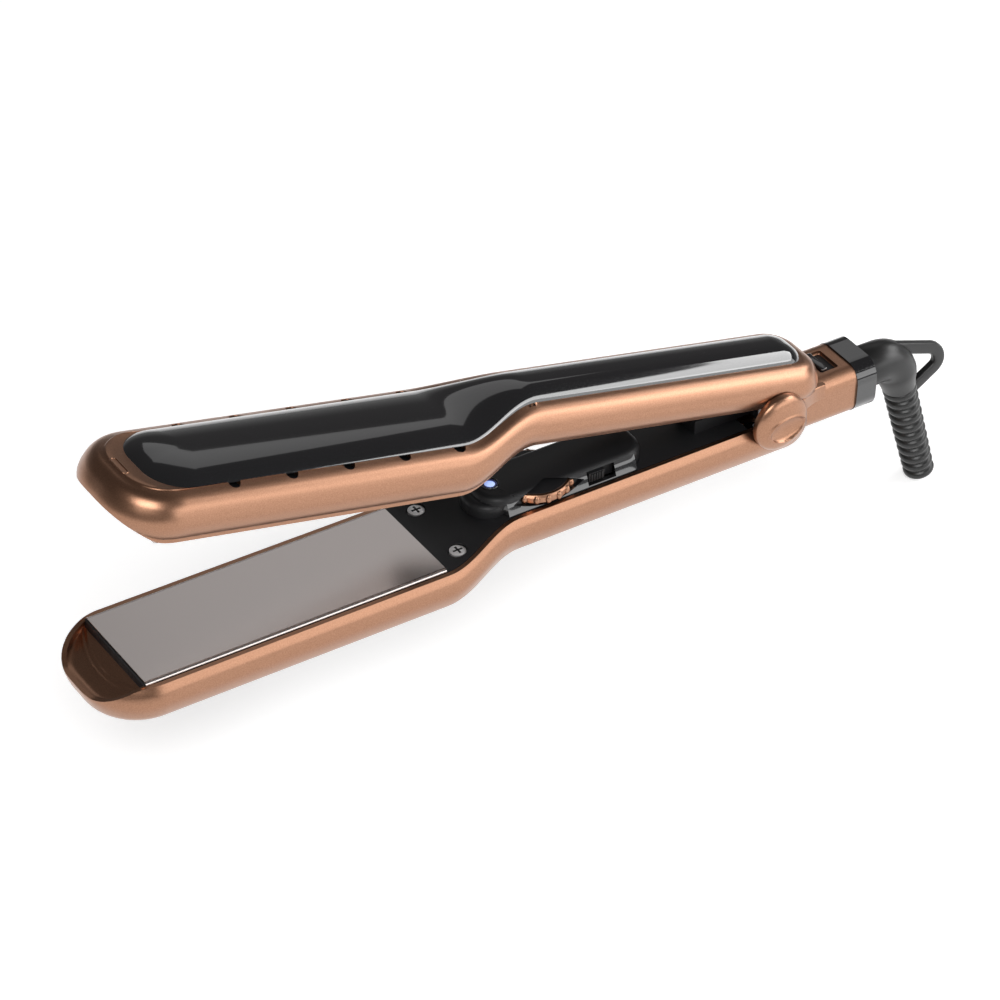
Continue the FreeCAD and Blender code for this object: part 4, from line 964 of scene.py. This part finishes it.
def build_dial():
    """The thumb wheel: a barrel-edged disc with upright oval finger bumps."""
    x, y = (DIAL_LOW.x + DIAL_HIGH.x) / 2, 0.0
    z = (DIAL_LOW.z + DIAL_HIGH.z) / 2
    reach = (DIAL_HIGH.x - DIAL_LOW.x) / 2
    half = (DIAL_HIGH.z - DIAL_LOW.z) / 2
    bumps = 20
    rim = reach - 0.9 * MM
    rows = []
    profile = [(2.6 * MM, -0.9), (rim - 1.6 * MM, -0.9), (rim - 0.5 * MM, -0.8), (rim, -0.45), (rim, 0.45),
               (rim - 0.5 * MM, 0.8), (rim - 1.6 * MM, 0.9), (2.6 * MM, 0.9)]
    for r, h in profile:
        rows.append([
            Vector((x + r * math.cos(a), y + r * math.sin(a), z + h * half))
            for a in (2 * math.pi * k / 120 for k in range(120))])
    meshes = [grid_mesh("wheel", rows, closed=True)]
    for k in range(bumps):
        a = 2 * math.pi * (k + 0.5) / bumps
        out = Vector((math.cos(a), math.sin(a), 0.0))
        along = Vector((-math.sin(a), math.cos(a), 0.0))
        ball = []
        for i in range(1, 10):
            u = math.pi * i / 10
            ball.append([
                Vector((x, y, z)) + out * (rim - 0.1 * MM + 1.0 * MM * math.sin(u) * math.cos(v))
                + along * (1.15 * MM * math.sin(u) * math.sin(v))
                + Vector((0, 0, half * 0.78 * math.cos(u)))
                for v in (2 * math.pi * j / 14 for j in range(14))])
        ball_mesh = grid_mesh("bump", ball, cap_last=True)
        meshes.append(ball_mesh)
    face = upright_cylinder(
        x, y, z + half * 0.55, z + half * 0.97, rim - 1.3 * MM, sides=96)
    add_piece("thumb_wheel_face", face, "black_matte", "dial", sharp=40.0)
    add_piece(
        "thumb_wheel", joined("thumb_wheel", meshes), "copper_satin", "dial", "temperature_dial",
        sharp=35.0)


build_pod()
build_dial()


# ---------------------------------------------------------------- screws

SCREW_RADIUS = 2.7 * MM
SCREW_RUN = 8.3 * MM
SCREW_SPREAD = 12.3 * MM
UPPER_COVER_DROP = 3.2 * MM


def build_screws(form):
    """Domed cross-head screws over the plain ones, each with a black cross set into its solid head as painted
    shade for the cross recess.
    """
    heads, shade_crosses = [], []
    radius = SCREW_RADIUS
    x = PLATE_REAR + form.setback + SCREW_RUN
    for side in (-1, 1):
        y = side * SCREW_SPREAD
        foot = form.height(x, 0.0) + form.way * ((UPPER_COVER_DROP if form is UPPER else 0.0) + 0.12 * MM)
        rows = []
        for k in range(9):
            t = k / 8
            rows.append([
                Vector((x + radius * t * math.cos(a), y + radius * t * math.sin(a),
                        foot - form.way * 0.30 * MM * (1.0 - t ** 3)))
                for a in (2 * math.pi * j / 40 for j in range(40))])
        rows.append([Vector((p.x, p.y, foot + form.way * 0.7 * MM)) for p in rows[-1]])
        heads.append(grid_mesh("head", rows, cap_last=True))
        # Black cross plates just inside the domed head: painted shade standing in for the shaded cross recess,
        # which is not cut.
        top = foot - form.way * 0.33 * MM
        deep = foot - form.way * 0.05 * MM
        z0, z1 = sorted((top, deep))
        for length, width in ((1.75 * MM, 0.42 * MM), (0.42 * MM, 1.75 * MM)):
            shade_crosses.append(box_mesh(
                (x - length, y - width, z0), (x + length, y + width, z1), 0.12 * MM, 2))
    add_piece(
        form.name + "_screw_heads", form.placed(joined("heads", heads)), "steel", form.body,
        sharp=50.0)
    # the black crosses are painted shade for the recesses
    add_piece(
        form.name + "_screw_recess_shade", form.placed(joined("shade_crosses", shade_crosses)), "black_matte",
        form.body, sharp=50.0)


build_screws(LOWER)
build_screws(UPPER)


# ---------------------------------------------------------------- plate edges

def build_edge_shades(form):
    """Dark strips as painted shade: in the gaps between the plate and the housing wall, and over the plate's front
    face below its top edge.
    """
    strips = []
    rim = sorted((form.rim + form.way * 0.25 * MM, form.rim + form.way * 3.0 * MM))
    for side in (-1, 1):
        y0, y1 = sorted((side * (PLATE_HIGH.y + 0.06 * MM), side * (HEAD_HALF - 2.9 * MM)))
        strips.append(box_mesh(
            (-PLATE_REAR + form.setback, y0, rim[0]), (PLATE_REAR, y1, rim[1]), 0.1 * MM, 2))
    wall = sorted((form.face + form.way * 0.7 * MM, form.face + form.way * 4.6 * MM))
    strips.append(box_mesh(
        (-PLATE_REAR - 0.35 * MM, -PLATE_HIGH.y + 0.1 * MM, wall[0]),
        (-PLATE_REAR + 0.2 * MM, PLATE_HIGH.y - 0.1 * MM, wall[1]), 0.1 * MM, 2))
    # these dark strips are painted shade in the gaps beside the plate and on its front face
    add_piece(
        form.name + "_plate_edge_shade", form.placed(joined("plate_shade_strips", strips)), "black_matte", form.body,
        sharp=40.0)


build_edge_shades(LOWER)
build_edge_shades(UPPER)


# ---------------------------------------------------------------- rear sleeve

SLEEVE_LOW, SLEEVE_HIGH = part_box("rear_sleeve")
COLLAR_LOW, COLLAR_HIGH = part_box("sleeve_collar")
SLEEVE_HALF = 11.0 * MM
TAIL_ROOM = 0.45 * MM


def rounded_section(x, half, z_low, z_high, radius):
    ring = []
    centre_z = (z_low + z_high) / 2
    tall = (z_high - z_low) / 2
    corners = ((1, 1, 0.0), (-1, 1, 0.5), (-1, -1, 1.0), (1, -1, 1.5))
    for sy, sz, quarter in corners:
        for k in range(9):
            a = math.pi * (quarter + 0.5 * k / 8)
            ring.append(Vector((
                x, sy * (half - radius) + radius * math.cos(a),
                centre_z + sz * (tall - radius) + radius * math.sin(a))))
    return ring


def tail_room():
    """The upper arm's tail with a running gap round it, in the open pose."""
    outline = UPPER.skin
    rows = []
    for share in (0.14, 0.17, 0.25, 0.35, 0.47, 0.60, 0.70, 0.79, 1.0):
        row = []
        for station in outline.stations:
            inset = section_inset(min(share, SEAM_SHARE)) - TAIL_ROOM
            x, y = outline.point(station, inset)
            row.append(Vector((x, y, UPPER.height(x, share))))
        rows.append(row)
    mesh = filled(grid_mesh("tail_room", rows))
    return UPPER.placed(mesh)


def build_sleeve():
    """The copper sleeve: hugs the upper arm's tail and carries the two side cheeks of the hinge."""
    front = HINGE.x + 10.0 * MM
    rows = [
        rounded_section(front, SLEEVE_HALF, SLEEVE_LOW.z, SLEEVE_HIGH.z, 5.0 * MM),
        rounded_section(COLLAR_LOW.x, SLEEVE_HALF, SLEEVE_LOW.z, SLEEVE_HIGH.z, 5.0 * MM)]
    body = filled(grid_mesh("sleeve", rows))
    slider_low, slider_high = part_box("lock_slider")
    recess = box_mesh(
        (slider_low.x - 0.4 * MM, -5.4 * MM, slider_low.z - 0.35 * MM),
        (slider_high.x + 4.4 * MM, 5.4 * MM, SLEEVE_HIGH.z + 3 * MM), 0.9 * MM)
    cheeks = []
    for side in (-1, 1):
        sections = []
        for k in range(13):
            t = k / 12
            x = mix(HINGE.x, HINGE.x + 23.0 * MM, t)
            outer = mix(15.2 * MM, SLEEVE_HALF + 0.02 * MM, smooth((t - 0.30) / 0.62))
            inner = outer - mix(2.6 * MM, 2.2 * MM, t)
            z_low = mix(HINGE.z - 2.7 * MM, HINGE.z - 3.4 * MM, t)
            z_high = HINGE.z + 2.7 * MM
            middle = side * (outer + inner) / 2
            ring = rounded_section(x, (outer - inner) / 2, z_low, z_high, 0.6 * MM)
            sections.append([Vector((p.x, p.y + middle, p.z)) for p in ring])
        cheeks.append(filled(grid_mesh("cheek", sections)))
    room = tail_room()
    body = cut_away(body, joined("tools", [recess]))
    body = cut_away(body, room)
    cheeks = [cut_away(cheek, room) for cheek in cheeks]
    add_piece(
        "sleeve_shell", joined("sleeve_shell", [body] + cheeks), "copper_satin", "lower_arm",
        "rear_sleeve", sharp=32.0)

    slider = box_mesh(
        (slider_low.x, slider_low.y, slider_low.z), (slider_high.x, slider_high.y, slider_high.z),
        0.45 * MM)
    bed = box_mesh(
        (slider_low.x, -5.0 * MM, slider_low.z - 0.6 * MM),
        (slider_high.x + 4.0 * MM, 5.0 * MM, slider_low.z - 0.1 * MM))
    add_piece("lock_bed", bed, "black_matte", "lower_arm")
    add_piece("lock_bar", slider, "black_gloss", "lock", "lock_slider", sharp=40.0)


build_sleeve()


# ---------------------------------------------------------------- cord outlet

AXIS = Vector((COLLAR_HIGH.x + 15.5 * MM, 0.0, (COLLAR_LOW.z + COLLAR_HIGH.z) / 2))
ELBOW_RADIUS = 7.4 * MM
BEND_RADIUS = 9.0 * MM
RELIEF_ANGLE = math.radians(72.0)
RELIEF_DOWN = Vector((math.cos(RELIEF_ANGLE), 0.0, -math.sin(RELIEF_ANGLE)))
RELIEF_PLAIN = 14.0 * MM
RELIEF_LENGTH = 58.0 * MM
RELIEF_RADIUS = 6.0 * MM
RIBS = 11
TUBE_SIDES = 64
STUB_RADIUS = 4.2 * MM
STUB_GAP = 0.35 * MM
LOOP_WIDTH_HALF = 2.2 * MM
LOOP_DEPTH_HALF = 1.5 * MM


def tube(name, places):
    """A swept round body through (centre, direction, radius); the radius may depend on the angle."""
    rows = []
    for centre, way, radius in places:
        out = way.cross(Vector((0.0, 1.0, 0.0)))
        ring = []
        for j in range(TUBE_SIDES):
            a = 2 * math.pi * j / TUBE_SIDES
            r = radius(a) if callable(radius) else radius
            ring.append(centre + Vector((0.0, r * math.cos(a), 0.0)) + out * (r * math.sin(a)))
        rows.append(ring)
    return filled(grid_mesh(name, rows, cap_last=True))


def build_elbow():
    """The smooth elbow with its stub in the sleeve and a rounded triangular hanging loop."""
    forward = Vector((1.0, 0.0, 0.0))
    tangent = BEND_RADIUS * math.tan(RELIEF_ANGLE / 2)
    low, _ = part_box("swivel_elbow")
    start = COLLAR_HIGH.x + STUB_GAP
    places = [
        (Vector((low.x, 0, AXIS.z)), forward, STUB_RADIUS),
        (Vector((start, 0, AXIS.z)), forward, STUB_RADIUS),
        (Vector((start, 0, AXIS.z)), forward, ELBOW_RADIUS - 0.4 * MM),
        (Vector((start + 0.4 * MM, 0, AXIS.z)), forward, ELBOW_RADIUS)]
    centre = Vector((AXIS.x - tangent, 0, AXIS.z - BEND_RADIUS))
    for k in range(25):
        a = RELIEF_ANGLE * k / 24
        way = Vector((math.cos(a), 0, -math.sin(a)))
        place = centre + Vector((math.sin(a), 0, math.cos(a))) * BEND_RADIUS
        places.append((place, way, ELBOW_RADIUS))
    for t in (0.3, 0.65, 1.0):
        run = mix(tangent, RELIEF_PLAIN, t)
        places.append((AXIS + RELIEF_DOWN * run, RELIEF_DOWN, mix(ELBOW_RADIUS, RELIEF_RADIUS, smooth(t))))

    corners = [Vector((AXIS.x + x * MM, 0, AXIS.z + z * MM)) for x, z in (
        (0.0, 3.6), (19.3, -3.2), (21.2, -9.6), (9.0, -17.5))]
    cuts = (1.0 * MM, 3.3 * MM, 3.3 * MM, 2.0 * MM)
    path = []
    for i, (corner, cut) in enumerate(zip(corners, cuts)):
        before = corner + (corners[i - 1] - corner).normalized() * cut
        after = corner + (corners[(i + 1) % 4] - corner).normalized() * cut
        for k in range(13):
            t = k / 12
            path.append(before * (1 - t) ** 2 + corner * (2 * t * (1 - t)) + after * t * t)
    rows = []
    count = len(path)
    for i, place in enumerate(path):
        way = (path[(i + 1) % count] - path[i - 1]).normalized()
        out = way.cross(Vector((0.0, 1.0, 0.0)))
        ring = []
        for j in range(24):
            a = 2 * math.pi * j / 24
            u = math.copysign(abs(math.cos(a)) ** 0.45, math.cos(a)) * LOOP_WIDTH_HALF
            v = math.copysign(abs(math.sin(a)) ** 0.45, math.sin(a)) * LOOP_DEPTH_HALF
            ring.append(place + out * u + Vector((0.0, v, 0.0)))
        rows.append(ring)
    loop = grid_mesh("loop", rows, closed=True)
    add_piece(
        "elbow_shell", joined("elbow", [tube("elbow", places), loop]), "cord_rubber", "swivel",
        "swivel_elbow", sharp=45.0)


def build_relief():
    """The ribbed strain relief: eleven rings broken by a smooth strip, with an open rounded end."""
    length = RELIEF_LENGTH - RELIEF_PLAIN
    places = []
    samples = 14

    def ringed(core, bump):
        def radius(a):
            strip = smooth((math.sin(a) - 0.86) / 0.08)
            return core + mix(bump, 0.35 * MM, strip)
        return radius

    for k in range(RIBS * samples + 1):
        t = k / (RIBS * samples)
        u = (k % samples) / samples
        core = mix(5.3 * MM, 4.8 * MM, t)
        bulge = math.sqrt(max(1.0 - ((u - 0.5) / 0.38) ** 2, 0.0))
        bump = mix(-0.55 * MM, 0.68 * MM, bulge)
        end = smooth((t - 0.975) / 0.025)
        run = RELIEF_PLAIN + length * t - 0.05 * MM * end
        places.append((AXIS + RELIEF_DOWN * run, RELIEF_DOWN, ringed(core - 0.9 * MM * end, bump)))
    tip = AXIS + RELIEF_DOWN * (RELIEF_PLAIN + length - 0.05 * MM)
    places.append((tip, RELIEF_DOWN, 3.3 * MM))
    places.append((tip - RELIEF_DOWN * 6.0 * MM, RELIEF_DOWN, 3.2 * MM))
    add_piece("relief_rings", tube("relief", places), "cord_rubber", "swivel", "strain_relief", sharp=70.0)


build_elbow()
build_relief()


# ---------------------------------------------------------------- floor, light and camera

def studio():
    """A pale, faintly glowing floor under the lowest point, and a world that darkens overhead."""
    low, _ = CAD_BOX
    bpy.ops.mesh.primitive_plane_add(size=12.0, location=(0.0, 0.0, low[2] - 0.0005))
    floor = bpy.context.object
    floor.name = "floor"
    material, tree, shader, place = new_material("floor_white")
    tone = ramp(tree, add_noise(tree, place, 3.0), (0.84, 0.84, 0.84), (0.86, 0.86, 0.86))
    tree.links.new(tone, shader.inputs["Base Color"])
    tree.links.new(tone, shader.inputs["Emission Color"])
    shader.inputs["Emission Strength"].default_value = 0.62
    shader.inputs["Roughness"].default_value = 0.8
    floor.data.materials.append(material)

    world = bpy.data.worlds.new("studio")
    bpy.context.scene.world = world
    world.use_nodes = True
    tree = world.node_tree
    height = tree.nodes.new("ShaderNodeSeparateXYZ")
    tree.links.new(tree.nodes.new("ShaderNodeTexCoord").outputs["Generated"], height.inputs[0])
    sky = ramp(tree, height.outputs["Z"], (0.30, 0.30, 0.30), (0.105, 0.102, 0.102), 0.02, 0.26)
    tree.links.new(sky, tree.nodes["Background"].inputs["Color"])


def soft_box(name, place, target, width, height, power, colour=(1.0, 1.0, 1.0)):
    light = bpy.data.lights.new(name, "AREA")
    light.shape = "RECTANGLE"
    light.size = width
    light.size_y = height
    light.energy = power
    light.color = colour
    item = bpy.data.objects.new(name, light)
    bpy.context.scene.collection.objects.link(item)
    item.location = place
    aim = Vector(target) - Vector(place)
    item.rotation_euler = aim.to_track_quat("-Z", "Y").to_euler()
    return item


def lights():
    """Boxes for the walls, the covers and the plates, and one behind the camera for the floor."""
    middle = (0.09, 0.0, 0.03)
    soft_box("front_box", (0.80, -0.85, 0.36), middle, 1.5, 0.50, 6.0)
    soft_box("right_box", (1.02, -0.20, 0.62), middle, 1.0, 0.30, 5.6)
    soft_box("plate_box", (0.78, 0.92, 0.95), middle, 0.8, 0.5, 0.66)
    soft_box("camera_box", (-1.1, -1.5, 1.9), middle, 1.6, 1.2, 40.0)


VIEW_TARGET = Vector((0.0844, -0.0036, 0.0253))
VIEW_DISTANCE = 1.4
VIEW_AZIMUTH = math.radians(34.77)
VIEW_ELEVATION = math.radians(37.25)
VIEW_ROLL = math.radians(2.34)
LENS = 157.4


def camera():
    data = bpy.data.cameras.new("photo_camera")
    data.lens = LENS
    data.sensor_width = 36.0
    item = bpy.data.objects.new("photo_camera", data)
    bpy.context.scene.collection.objects.link(item)
    flat = Vector((math.sin(VIEW_AZIMUTH), math.cos(VIEW_AZIMUTH), 0.0)) * math.cos(VIEW_ELEVATION)
    forward = flat - Vector((0.0, 0.0, math.sin(VIEW_ELEVATION)))
    item.location = VIEW_TARGET - forward * VIEW_DISTANCE
    look = forward.to_track_quat("-Z", "Y").to_matrix()
    item.rotation_euler = (look @ Matrix.Rotation(VIEW_ROLL, 3, "Z")).to_euler()
    bpy.context.scene.camera = item


studio()
lights()
camera()
bpy.context.scene.view_settings.view_transform = "Standard"
